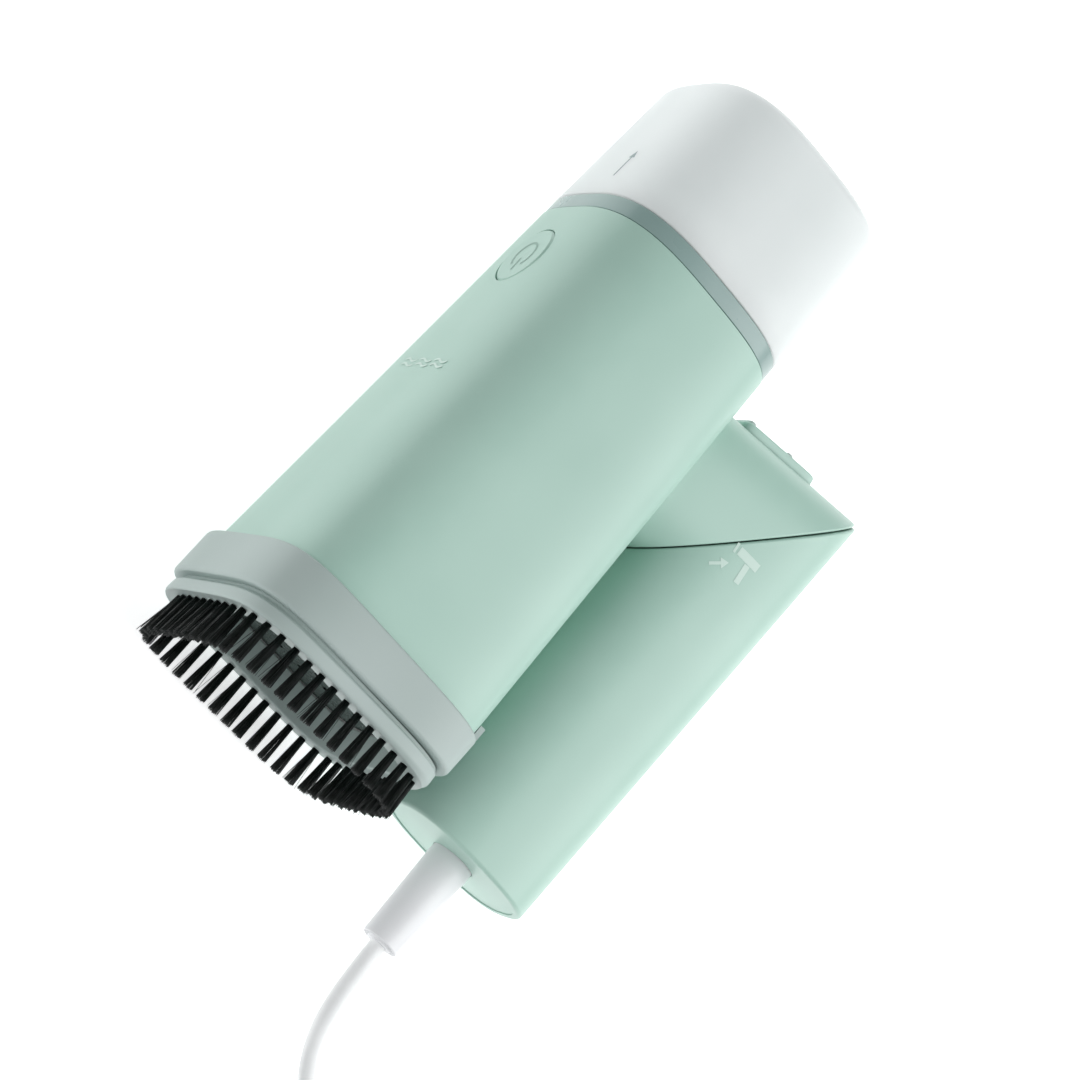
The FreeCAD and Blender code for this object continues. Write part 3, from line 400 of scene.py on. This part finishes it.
def rounded_square(angle, squareness):
    """Point of the unit rounded square in a direction."""
    across = math.cos(angle)
    up = math.sin(angle)
    size = (abs(across) ** squareness + abs(up) ** squareness) ** (-1 / squareness)
    return across * size, up * size


def shell_share(along):
    """How far a place is from the collar's back, 0, to the band, 1."""
    return clamp((along - COLLAR_LONG) / (SHELL_END - COLLAR_LONG))


def body_half(along):
    """Half the body's width at a distance along it."""
    if along <= SHELL_END:
        return HALF_HEAD + shell_share(along) * (HALF_DOCK - HALF_HEAD)
    share = (along - SHELL_END) / (TANK_END - SHELL_END)
    return HALF_DOCK + share * (HALF_TANK - HALF_DOCK)


def body_squareness(along):
    return SQUARE_HEAD + shell_share(along) * (SQUARE_DOCK - SQUARE_HEAD)


def body_loop(along, inset):
    """Points round the body's section at a distance along it."""
    half = body_half(along) - inset
    loop = []
    for step in range(AROUND):
        across, up = rounded_square(2 * math.pi * step / AROUND, body_squareness(along))
        loop.append(FRONT + Vector((along, across * half, up * half)))
    return loop


def body_sleeve(name, corners, body, material, stands_for, aside=0.0, slant=0.0):
    """A ring round the body with the eased profile of its corners.

    Its outside may be shifted aside and its front slanted, and neither reaches its inside.
    """
    fade = 0.0010
    profile = eased(corners)
    points = []
    for along, inset in profile:
        outer = clamp(1 - inset / fade)
        ahead = clamp((COLLAR_LONG - along) / (COLLAR_LONG - COLLAR_FRONT))
        for spot in body_loop(along, inset):
            lead = -slant * ahead * outer * (spot.y - FRONT.y) / HALF_HEAD
            points.append(spot + Vector((lead, aside * outer, 0.0)))
    faces = strip_faces(len(profile), AROUND, closed=True)
    piece = add_piece(name, points, faces, body, material, stands_for)
    weigh_normals(piece)


def turned(name, outline, centre, axis, body, material, stands_for=(), around=64):
    """A turned piece: outline is a list of (distance along the axis, radius), end to end."""
    turn = Vector(axis).to_track_quat("Z", "Y")
    points = []
    for along, radius in outline:
        for step in range(around):
            angle = 2 * math.pi * step / around
            spot = Vector((radius * math.cos(angle), radius * math.sin(angle), along))
            points.append(Vector(centre) + turn @ spot)
    faces = capped_faces(len(outline), around)
    piece = add_piece(name, points, faces, body, material, stands_for)
    weigh_normals(piece)
    return piece


# ---------------------------------------------------------------- mains cord

CORD_THICK = 0.0045
CORD_RADIUS = CORD_THICK / 2
FLOOR = -FRONT.z
REST = FLOOR + CORD_RADIUS
BOOT_TIP = Vector((-0.0310, GRIP_MIDDLE, 0.0))
ROUTE = [
    BOOT_TIP,
    Vector((-0.0430, -0.0603, -0.0015)),
    Vector((-0.0540, -0.0652, -0.0075)),
    Vector((-0.0620, -0.0740, -0.0160)),
    Vector((-0.0675, -0.0860, -0.0250)),
    Vector((-0.0740, -0.0995, REST)),
    Vector((-0.0845, -0.1130, REST)),
]
WINDING_MIDDLE = 0.0265
TRACK_OUT = 0.0045
COIL_ROWS = 4
ROW_RISE = 0.0042
TURN_POINTS = 16
CHANGE_SHARE = 0.25
TAIL_LONG = 0.0260
NOSE_DEPTH = 0.0020
PLUG_HALF_HIGH = 0.0125
PLUG_HALF_WIDE = 0.0175
PLUG_LONG = 0.0300


def coil_tracks():
    """Radius and height of each turn, in rows of three and of two that nest."""
    tracks = []
    for row in range(COIL_ROWS):
        height = REST + row * ROW_RISE
        if row % 2 == 0:
            offsets = (TRACK_OUT, 0.0, -TRACK_OUT)
        else:
            offsets = (-TRACK_OUT / 2, TRACK_OUT / 2)
        for offset in offsets:
            tracks.append((WINDING_MIDDLE + offset, height))
    return tracks


def coil_centre():
    """Middle of the coil, which the end of the route meets along its outer turn."""
    heading = (ROUTE[-1] - ROUTE[-2]).normalized()
    outward = Vector((heading.y, -heading.x, 0.0))
    return ROUTE[-1] + outward * (WINDING_MIDDLE + TRACK_OUT)


def coil_points():
    """Control points of the stored turns, wound clockwise, ending towards +Y beside the plug.

    Each turn keeps to its track and changes to the following one near its end.
    """
    centre = coil_centre()
    start = math.atan2(ROUTE[-1].y - centre.y, ROUTE[-1].x - centre.x)
    tracks = coil_tracks()
    stop = -math.pi
    sweep = (start - stop) % (2 * math.pi) + 2 * math.pi * (len(tracks) - 1)
    count = round(sweep / (2 * math.pi) * TURN_POINTS)
    spread = 1 / math.cos(math.pi / TURN_POINTS)
    points = []
    for step in range(1, count + 1):
        passed = sweep * step / count
        number = passed / (2 * math.pi)
        here = min(int(number), len(tracks) - 1)
        following = min(here + 1, len(tracks) - 1)
        ease = clamp((number - here - (1 - CHANGE_SHARE)) / CHANGE_SHARE)
        ease = ease * ease * (3 - 2 * ease)
        radius = tracks[here][0] + ease * (tracks[following][0] - tracks[here][0])
        height = tracks[here][1] + ease * (tracks[following][1] - tracks[here][1])
        angle = start - passed
        points.append(Vector((centre.x + radius * spread * math.cos(angle),
                              centre.y + radius * spread * math.sin(angle), height)))
    return points


def make_cord(finishes):
    """The mains cord on one smooth line, from the boot to the plug's nose."""
    coil = coil_points()
    nose = Vector((coil[-1].x, coil[-1].y + TAIL_LONG, FLOOR + PLUG_HALF_HIGH))
    tail = [coil[-1].lerp(nose, 0.4), coil[-1].lerp(nose, 0.75), nose + Vector((0, NOSE_DEPTH, 0))]
    data = bpy.data.curves.new("mains_cord", "CURVE")
    data.dimensions = "3D"
    data.bevel_depth = CORD_RADIUS
    data.bevel_resolution = 6
    data.resolution_u = 8
    data.use_fill_caps = True
    spline = data.splines.new("NURBS")
    line = ROUTE + coil + tail
    spline.points.add(len(line) - 1)
    for point, spot in zip(spline.points, line):
        point.co = (*(FRONT + spot), 1.0)
    spline.order_u = 3
    spline.use_endpoint_u = True
    data.materials.append(finishes["cord_white"])
    cord = bpy.data.objects.new("mains_cord", data)
    bpy.context.scene.collection.objects.link(cord)
    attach(cord, "handle")
    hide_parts("cord_tube", "cord_coil", "cord_tail")
    return cord, FRONT + nose


def make_boot(finishes):
    """Strain relief: a smooth taper with a rim round the cord at its tip."""
    long = 0.0266
    root = 0.0060
    sunk = 0.0030
    tip = 0.0051
    bore = 0.0012
    dish = 0.0006
    lip = 0.0004
    outline = eased_outline([
        (-lip, bore, 0), (-lip, 0.0034, 0.0002), (dish, 0.0037, 0.0002),
        (dish, tip - 0.0009, 0.0002), (0.0, tip - 0.0006, 0.0002), (0.0, tip, 0.0005),
        (long - 0.0020, root, 0.0004), (long, root - 0.0001, 0.0002),
        (long + sunk, root - 0.0001, 0.0002), (long + sunk, bore, 0),
    ])
    return turned("cord_strain_relief", outline, FRONT + BOOT_TIP, (1, 0, 0), "handle",
                  finishes["white_boot"], ["cord_boot"], around=96)


# ---------------------------------------------------------------- plug and tie

RELIEF_LONG = 0.0180
RELIEF_ROOT = 0.0070
PIN_LONG = 0.0190
PIN_RADIUS = 0.0024
PIN_ASIDE = 0.0095
PIN_SUNK = 0.0005


def make_plug_relief(nose, finishes):
    """Ribbed nose that grows from the cord to the plug's body."""
    ribs = 5
    pitch = 0.0030
    first = 0.0010
    slim = 0.0037
    grow = 0.0030
    outline = [(0.0, 0.0010), (0.0, 0.0034)]
    for rib in range(ribs):
        start = first + rib * pitch
        radius = slim + grow * rib / ribs
        outline += [(start, radius), (start + 0.0016, radius + 0.0002),
                    (start + 0.0019, radius - 0.0008), (start + 0.0027, radius - 0.0006)]
    outline += [(RELIEF_LONG - 0.0005, RELIEF_ROOT), (RELIEF_LONG, RELIEF_ROOT),
                (RELIEF_LONG, 0.0010)]
    return turned("plug_strain_relief", outline, nose, (0, 1, 0), "handle",
                  finishes["cord_white"], ["plug_nose"])


def make_plug_housing(nose, finishes):
    """Rounded body that narrows towards the cord, with shallow finger grips in its sides."""
    rings = 40
    around = 96
    narrowing = 0.34
    shoulder_end = 0.22
    rim_fall = 0.045
    rim_start = 0.94
    grip_depth = 0.0009
    grip_middle = 0.52
    grip_spread = 0.20
    grip_waves = 60
    points = []
    for ring in range(rings + 1):
        share = ring / rings
        shoulder = 1 - narrowing * (1 - min(share / shoulder_end, 1.0)) ** 2.2
        rim = 1 - rim_fall * max((share - rim_start) / (1 - rim_start), 0.0) ** 2
        near_grip = math.exp(-((share - grip_middle) / grip_spread) ** 2)
        grip = grip_depth * near_grip * (1 + math.cos(share * grip_waves))
        for step in range(around):
            across, up = rounded_square(2 * math.pi * step / around, 3.0)
            pinch = 1 - grip / PLUG_HALF_WIDE * abs(across) ** 3
            points.append(nose + Vector((across * PLUG_HALF_WIDE * shoulder * rim * pinch,
                                         RELIEF_LONG + share * PLUG_LONG,
                                         up * PLUG_HALF_HIGH * shoulder * rim)))
    housing = add_piece("plug_housing", points, capped_faces(rings + 1, around), "handle",
                        finishes["cord_white"], ["plug_body"])
    weigh_normals(housing)
    return housing


def make_plug_pins(nose, finishes):
    """Two round pins with domed tips."""
    reach = PIN_LONG + PIN_SUNK
    shape = eased_outline([(0.0, 0.0004, 0), (0.0, PIN_RADIUS, 0.0001),
                           (reach, PIN_RADIUS, 0.0012), (reach, 0.0004, 0)])
    pins = []
    for name, side, stands_for in (("plug_pin_left", -1, ["plug_pins"]), ("plug_pin_right", 1, [])):
        place = nose + Vector((side * PIN_ASIDE, RELIEF_LONG + PLUG_LONG - PIN_SUNK, 0))
        pins.append(turned(name, shape, place, (0, 1, 0), "handle",
                           finishes["plated_pin"], stands_for, around=48))
    return pins


def make_plug(nose, finishes):
    return [make_plug_relief(nose, finishes), make_plug_housing(nose, finishes),
            *make_plug_pins(nose, finishes)]


def make_tie(finishes):
    """Hook and loop strap over the stored turns, down to the floor on both sides."""
    tie_low, tie_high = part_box("coil_tie")
    place = math.radians(75)
    half_span = 0.0072
    width = 0.0080
    thick = 0.0008
    gap = 0.0003
    lift = 0.0001
    rings = 28
    high = tie_high.z - tie_low.z - thick
    outward = Vector((math.cos(place), math.sin(place), 0))
    beside = Vector((-outward.y, outward.x, 0))
    centre = coil_centre()
    foot = FRONT + Vector((centre.x, centre.y, FLOOR + lift))
    points = []
    for ring in range(rings + 1):
        across, up = rounded_square(math.pi * ring / rings, 4.0)
        for grow in (0.0, thick):
            for side in (-0.5, 0.5):
                spot = outward * (WINDING_MIDDLE + across * (half_span + grow))
                spot += beside * (width * side)
                points.append(foot + spot + Vector((0, 0, up * (high + grow - gap))))
    faces = []
    for ring in range(rings):
        low = ring * 4
        for first, second in ((0, 1), (1, 3), (3, 2), (2, 0)):
            faces.append((low + first, low + second, low + 4 + second, low + 4 + first))
    faces.append((0, 2, 3, 1))
    end = rings * 4
    faces.append((end, end + 1, end + 3, end + 2))
    return add_piece("cord_tie_strap", points, faces, "handle",
                     finishes["tie_black"], ["coil_tie"])


# ---------------------------------------------------------------- brush

TUFTS = 50
HAIRS = 100
TUFT_RADIUS = 0.00085
TUFT_FAN = 0.00142
TUFT_LEAN = math.radians(2.0)
TUFT_INSET = 0.0028
TUFT_SUNK = 0.0006
TILT_OUT = 0.012
TILT_BESIDE = 0.020
HAIR_LONG = 0.0116
HAIR_SHORTER = 0.0004
HAIR_LEAST = 0.965
HAIR_BOW = 0.00007
HAIR_RADIUS = 0.000105
HAIR_TAPER = 0.35
HAIR_SIDES = 3
HAIR_RINGS = 4
STRAY_CHANCE = 0.025
STRAY_LEAST = 1.4
STRAY_MOST = 2.1


def make_brush(finishes):
    """Collar, tuft ring and bristles, with a shadow groove between the two rings."""
    trim = finishes["grey_trim"]
    wall = 0.0010
    lip = 0.0046
    lip_back = COLLAR_FRONT + 0.0016
    body_sleeve("collar_ring", [
        (COLLAR_FRONT, -COLLAR_PROUD, 0.0011), (COLLAR_LONG, -COLLAR_PROUD, 0.0009),
        (COLLAR_LONG, wall, 0.0002), (lip_back, wall, 0.0002), (lip_back, lip, 0.0002),
        (COLLAR_FRONT, lip, 0.0002),
    ], "brush", trim, ["brush_collar"], aside=COLLAR_SHIFT, slant=BRUSH_SLANT)
    groove = COLLAR_FRONT - 0.0010
    groove_depth = 0.0006
    back = COLLAR_FRONT - 0.0001
    step_along = 0.0046
    inside = 0.0062
    body_sleeve("tuft_ring", [
        (BASE_FRONT, -BASE_PROUD, 0.0013), (groove - 0.0005, -BASE_PROUD + 0.0002, 0.0005),
        (groove, groove_depth, 0.0003), (back, groove_depth, 0.0001), (back, 0.0056, 0.0002),
        (step_along, 0.0058, 0.0001), (step_along, inside, 0.0001), (BASE_FRONT, inside, 0.0006),
    ], "brush", trim, ["brush_base"], aside=COLLAR_SHIFT, slant=BRUSH_SLANT)
    make_bristles(finishes)


def even_spots(half, squareness, count):
    """Points evenly spaced round a rounded square."""
    fine = 4000
    loop = []
    for step in range(fine + 1):
        across, up = rounded_square(2 * math.pi * step / fine, squareness)
        loop.append(Vector((0.0, across * half, up * half)))
    run = [0.0]
    for before, after in zip(loop, loop[1:]):
        run.append(run[-1] + (after - before).length)
    spots = []
    index = 0
    for number in range(count):
        target = run[-1] * (number + 0.5) / count
        while run[index] < target:
            index += 1
        spots.append(loop[index])
    return spots


def add_bristle(points, faces, root, tip, bow):
    """One bent hair with three sides that narrows a little."""
    aslant = Vector((0.3, 0.8, 0.5))
    way = (tip - root).normalized()
    first = way.cross(aslant).normalized()
    second = way.cross(first)
    base = len(points)
    for ring in range(HAIR_RINGS):
        share = ring / (HAIR_RINGS - 1)
        centre = root.lerp(tip, share) + bow * (share * share)
        radius = HAIR_RADIUS * (1 - HAIR_TAPER * share)
        for side in range(HAIR_SIDES):
            angle = 2 * math.pi * side / HAIR_SIDES
            points.append(centre + first * (radius * math.cos(angle))
                          + second * (radius * math.sin(angle)))
    for ring in range(HAIR_RINGS - 1):
        low = base + ring * HAIR_SIDES
        high = low + HAIR_SIDES
        for side in range(HAIR_SIDES):
            beside = (side + 1) % HAIR_SIDES
            faces.append((low + side, low + beside, high + beside, high + side))
    end = base + (HAIR_RINGS - 1) * HAIR_SIDES
    faces.append((base + 2, base + 1, base))
    faces.append((end, end + 1, end + 2))


def make_bristles(finishes):
    """Fifty blunt tufts of stiff hair that fan out a little from their holes."""
    dice = random.Random(7)
    half = HALF_HEAD - TUFT_INSET
    points = []
    faces = []
    for spot in even_spots(half, SQUARE_HEAD, TUFTS):
        outward = Vector((0, spot.y, spot.z)).normalized()
        beside = Vector((1, 0, 0)).cross(outward)
        way = Vector((-math.cos(TUFT_LEAN), 0, 0)) + outward * math.sin(TUFT_LEAN)
        lead = -BRUSH_SLANT * spot.y / half
        base = FRONT + Vector((BASE_FRONT + TUFT_SUNK + lead, spot.y + COLLAR_SHIFT / 2, spot.z))
        long = HAIR_LONG - HAIR_SHORTER * spot.z / half
        tilt = outward * dice.uniform(-TILT_OUT, TILT_OUT)
        tilt += beside * dice.uniform(-TILT_BESIDE, TILT_BESIDE)
        for _ in range(HAIRS):
            angle = dice.uniform(0, 2 * math.pi)
            share = math.sqrt(dice.random())
            out = outward * (share * math.cos(angle)) + beside * (share * math.sin(angle))
            reach = long * dice.uniform(HAIR_LEAST, 1.0)
            stray = 1.0
            if dice.random() < STRAY_CHANCE:
                stray = dice.uniform(STRAY_LEAST, STRAY_MOST)
            root = base + out * TUFT_RADIUS
            tip = base + way * reach + tilt * reach + out * (TUFT_FAN * stray)
            bow = outward * dice.gauss(0, HAIR_BOW) + beside * dice.gauss(0, HAIR_BOW)
            add_bristle(points, faces, root, tip, bow)
    add_piece("bristle_tufts", points, faces, "brush", finishes["bristle"],
              ["brush_tufts"])


# ---------------------------------------------------------------- band and tank

BAND_GAP = 0.00025
BAND_INSIDE = 0.0024
TANK_GAP = 0.00035
TANK_WALL = 0.0016
TANK_CORNER = 0.0035


def make_band(finishes):
    """Glossy ring between the shell and the tank, with a fine gap on both sides."""
    start = SHELL_END + BAND_GAP
    body_sleeve("band_ring", [
        (start, 0.00015, 0.00025), (BAND_END, 0.00005, 0.0003),
        (BAND_END, BAND_INSIDE, 0.0002), (start, BAND_INSIDE, 0.0002),
    ], "main", finishes["gloss_band"], ["trim_band"])


def tank_loops(start, end, inset, corner):
    """Loops of a closed form from its open front over a rounded end to the middle."""
    loops = []
    for share in (0.0, 0.35, 0.7, 1.0):
        along = start + (end - corner - start) * share
        loops.append(body_loop(along, inset))
    steps = 10
    for step in range(1, steps + 1):
        angle = math.pi / 2 * step / steps
        along = end - corner + corner * math.sin(angle)
        loops.append(body_loop(along, inset + corner * (1 - math.cos(angle))))
    for share in (0.25, 0.5, 0.75, 0.97):
        loops.append(body_loop(end, inset + corner + (body_half(end) - inset - corner) * share))
    return loops


def make_tank(finishes):
    """Frosted tank: an outer and an inner skin joined round the open front."""
    start = BAND_END + TANK_GAP
    outer = tank_loops(start, TANK_END, 0.0, TANK_CORNER)
    inner = tank_loops(start, TANK_END - TANK_WALL, TANK_WALL, TANK_CORNER - TANK_WALL)
    loops = list(reversed(outer)) + inner
    points = [spot for loop in loops for spot in loop]
    piece = add_piece("tank_skin", points, capped_faces(len(loops), AROUND), "tank",
                      finishes["frosted_tank"], ["tank_shell"])
    weigh_normals(piece)


# ---------------------------------------------------------------- printed marks

PRINT_RISE = 0.00006


def grip_top(along, across):
    """Point on the handle's upper face."""
    share = abs((across - GRIP_MIDDLE) / GRIP_HALF)
    height = GRIP_THIN * (1 - share ** SQUARE_GRIP) ** (1 / SQUARE_GRIP)
    return FRONT + Vector((along, across, height + PRINT_RISE))


def body_side(along, up):
    """Point on the body's button side."""
    half = body_half(along)
    squareness = body_squareness(along)
    share = abs(up / half)
    across = half * (1 - share ** squareness) ** (1 / squareness)
    return FRONT + Vector((along, across + PRINT_RISE, up))


def button_face(along, up):
    """Point on the power button's flat face."""
    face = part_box("power_button")[1].y
    return Vector((FRONT.x + along, face + PRINT_RISE, FRONT.z + up))


class Mark:
    """Printed lines and arrow heads, laid on one surface and gathered into one piece."""

    def __init__(self, surface):
        self.surface = surface
        self.points = []
        self.faces = []

    def lay(self, rows):
        """Join rows of (middle, half-width vector) into a strip on the surface."""
        base = len(self.points)
        for middle, side in rows:
            for sign in (-1, 0, 1):
                self.points.append(self.surface(*(middle + side * sign)))
        for row in range(len(rows) - 1):
            low = base + row * 3
            for step in range(2):
                self.faces.append((low + step, low + step + 1, low + step + 4, low + step + 3))

    def line(self, path, width):
        """A line of even width along a path of places."""
        rows = []
        for index, spot in enumerate(path):
            before = path[max(index - 1, 0)]
            after = path[min(index + 1, len(path) - 1)]
            way = (Vector(after) - Vector(before)).normalized()
            rows.append((Vector(spot), Vector((-way.y, way.x)) * (width / 2)))
        self.lay(rows)

    def arrow_head(self, tip, way, long, half):
        """A triangle with its tip at a place."""
        way = Vector(way).normalized()
        side = Vector((-way.y, way.x))
        count = 6
        rows = []
        for row in range(count + 1):
            share = row / count
            rows.append((Vector(tip) - way * (long * share), side * (half * share)))
        self.lay(rows)

    def place(self, name, body, slot, material):
        add_piece(name, self.points, self.faces, body, material)


def line_path(start, end):
    steps = 8
    return [tuple(Vector(start).lerp(Vector(end), step / steps)) for step in range(steps + 1)]


def arc_path(centre, radius, start, stop):
    """Path round a centre between two angles in degrees."""
    steps = 40
    path = []
    for step in range(steps + 1):
        angle = math.radians(start + (stop - start) * step / steps)
        path.append((centre[0] + radius * math.cos(angle), centre[1] + radius * math.sin(angle)))
    return path


def wave_path(along, up, long, swing):
    """One full wave that climbs across the body about a middle place."""
    steps = 30
    path = []
    for step in range(steps + 1):
        share = step / steps
        path.append((along + swing * math.sin(share * 2 * math.pi), up + long * (share - 0.5)))
    return path


def make_power_sign(finishes):
    """An open ring with a bar in its gap."""
    line = 0.0007
    sign = Mark(button_face)
    sign.line(arc_path((BUTTON_ALONG, 0.0), 0.0039, 215, 505), line)
    sign.line(line_path((BUTTON_ALONG - 0.0052, 0), (BUTTON_ALONG - 0.0012, 0)), line)
    sign.place("power_sign", "power_button", "button_grey", finishes["dark_print"])


def make_fold_sign(finishes):
    """An arrow towards a small folded steamer: a head bar, its brush and a grip bar."""
    sign = Mark(grip_top)
    sign.line(line_path((0.0888, -0.0512), (0.0912, -0.0536)), 0.0008)
    sign.arrow_head((0.0926, -0.0550), (1, -1), 0.0022, 0.0014)
    sign.line(line_path((0.0968, -0.0550), (0.0972, -0.0620)), 0.0023)
    sign.line(line_path((0.0967, -0.0536), (0.0968, -0.0543)), 0.0027)
    sign.line(line_path((0.0957, -0.0592), (0.0905, -0.0600)), 0.0017)
    sign.place("fold_sign", "handle", "mint_shell", finishes["pale_print"])


def make_steam_sign(finishes):
    """Three pairs of short waves in a row across the body."""
    along = 0.0727
    up = 0.0010
    pitch = 0.0080
    half_gap = 0.0008
    sign = Mark(body_side)
    for row in (-1, 0, 1):
        for side in (-1, 1):
            path = wave_path(along + side * half_gap, up + row * pitch, 0.0066, 0.0005)
            sign.line(path, 0.0006)
    sign.place("steam_sign", "main", "mint_shell", finishes["pale_print"])


def make_slide_sign(finishes):
    """A plain arrow on the tank, away from the body."""
    up = 0.0060
    tip = 0.1475
    sign = Mark(body_side)
    sign.line(line_path((tip - 0.0090, up), (tip - 0.0020, up)), 0.0006)
    sign.arrow_head((tip, up), (1, 0), 0.0024, 0.0013)
    sign.place("slide_sign", "tank", "frosted_tank", finishes["grey_print"])


def make_marks(finishes):
    make_power_sign(finishes)
    make_fold_sign(finishes)
    make_steam_sign(finishes)
    make_slide_sign(finishes)


# ---------------------------------------------------------------- steam button

KEY_FROM_CORNER = 0.0299
KEY_HALF_LONG = 0.0122
KEY_HALF_WIDE = 0.0065
KEY_PROUD = 0.0017
KEY_SUNK = 0.0040
RIB_HALF_THICK = 0.0012
RIB_HALF_WIDE = 0.0050
RIB_PLACES = (("key_rib_low", -0.0033), ("key_rib_high", 0.0100))


def stacked_pad(name, centre, axes, layers, squareness, around, material, stands_for=()):
    """A pad on the steam button's body, of layers (level, half-length, half-width)."""
    up, beside, out = axes
    points = []
    for level, half_long, half_wide in layers:
        for step in range(around):
            across, high = rounded_square(2 * math.pi * step / around, squareness)
            points.append(centre + up * (across * half_long) + beside * (high * half_wide)
                          + out * level)
    pad = add_piece(name, points, capped_faces(len(layers), around), "steam_button",
                    material, stands_for)
    weigh_normals(pad)


def make_steam_button(finishes):
    """Rounded key on the neck's rear face with two ribs across it.

    The corner is where the neck's rear face meets the fold, and the key counts from there.
    """
    up = Vector((-math.sin(NECK_LEAN), math.cos(NECK_LEAN), 0))
    out = Vector((up.y, -up.x, 0))
    axes = (up, Vector((0, 0, 1)), out)
    down_to_corner = GRIP_HALF * up.y / (1 + up.x)
    centre = FRONT + PIVOT + out * GRIP_HALF + up * (KEY_FROM_CORNER - down_to_corner)
    edge = [(-KEY_SUNK, 0.0), (KEY_PROUD - 0.0007, 0.0), (KEY_PROUD - 0.0004, 0.00008),
            (KEY_PROUD - 0.0001, 0.0003), (KEY_PROUD, 0.0007), (KEY_PROUD, 0.0030),
            (KEY_PROUD - 0.00005, 0.0060)]
    layers = [(level, KEY_HALF_LONG - inset, KEY_HALF_WIDE - inset) for level, inset in edge]
    stacked_pad("steam_key", centre, axes, layers, 9.0, 96, finishes["button_grey"],
                ["steam_button"])
    dome = [(-0.0006, 1.0, 1.0), (0.0004, 1.0, 1.0), (0.0007, 0.93, 0.97),
            (0.0009, 0.78, 0.92), (0.00105, 0.5, 0.84), (0.0011, 0.15, 0.75)]
    layers = [(KEY_PROUD + level, RIB_HALF_THICK * thin, RIB_HALF_WIDE * narrow)
              for level, thin, narrow in dome]
    for name, shift in RIB_PLACES:
        stacked_pad(name, centre + up * shift, axes, layers, 4.0, 48, finishes["dome_grey"])


finishes = make_finishes()
make_camera()
cord, nose = make_cord(finishes)
boot = make_boot(finishes)
plug = make_plug(nose, finishes)
tie = make_tie(finishes)
make_floor()
make_studio()
paint_nodes(finishes)
make_brush(finishes)
make_band(finishes)
make_tank(finishes)
make_marks(finishes)
make_steam_button(finishes)

bpy.context.scene.view_settings.view_transform = "Standard"
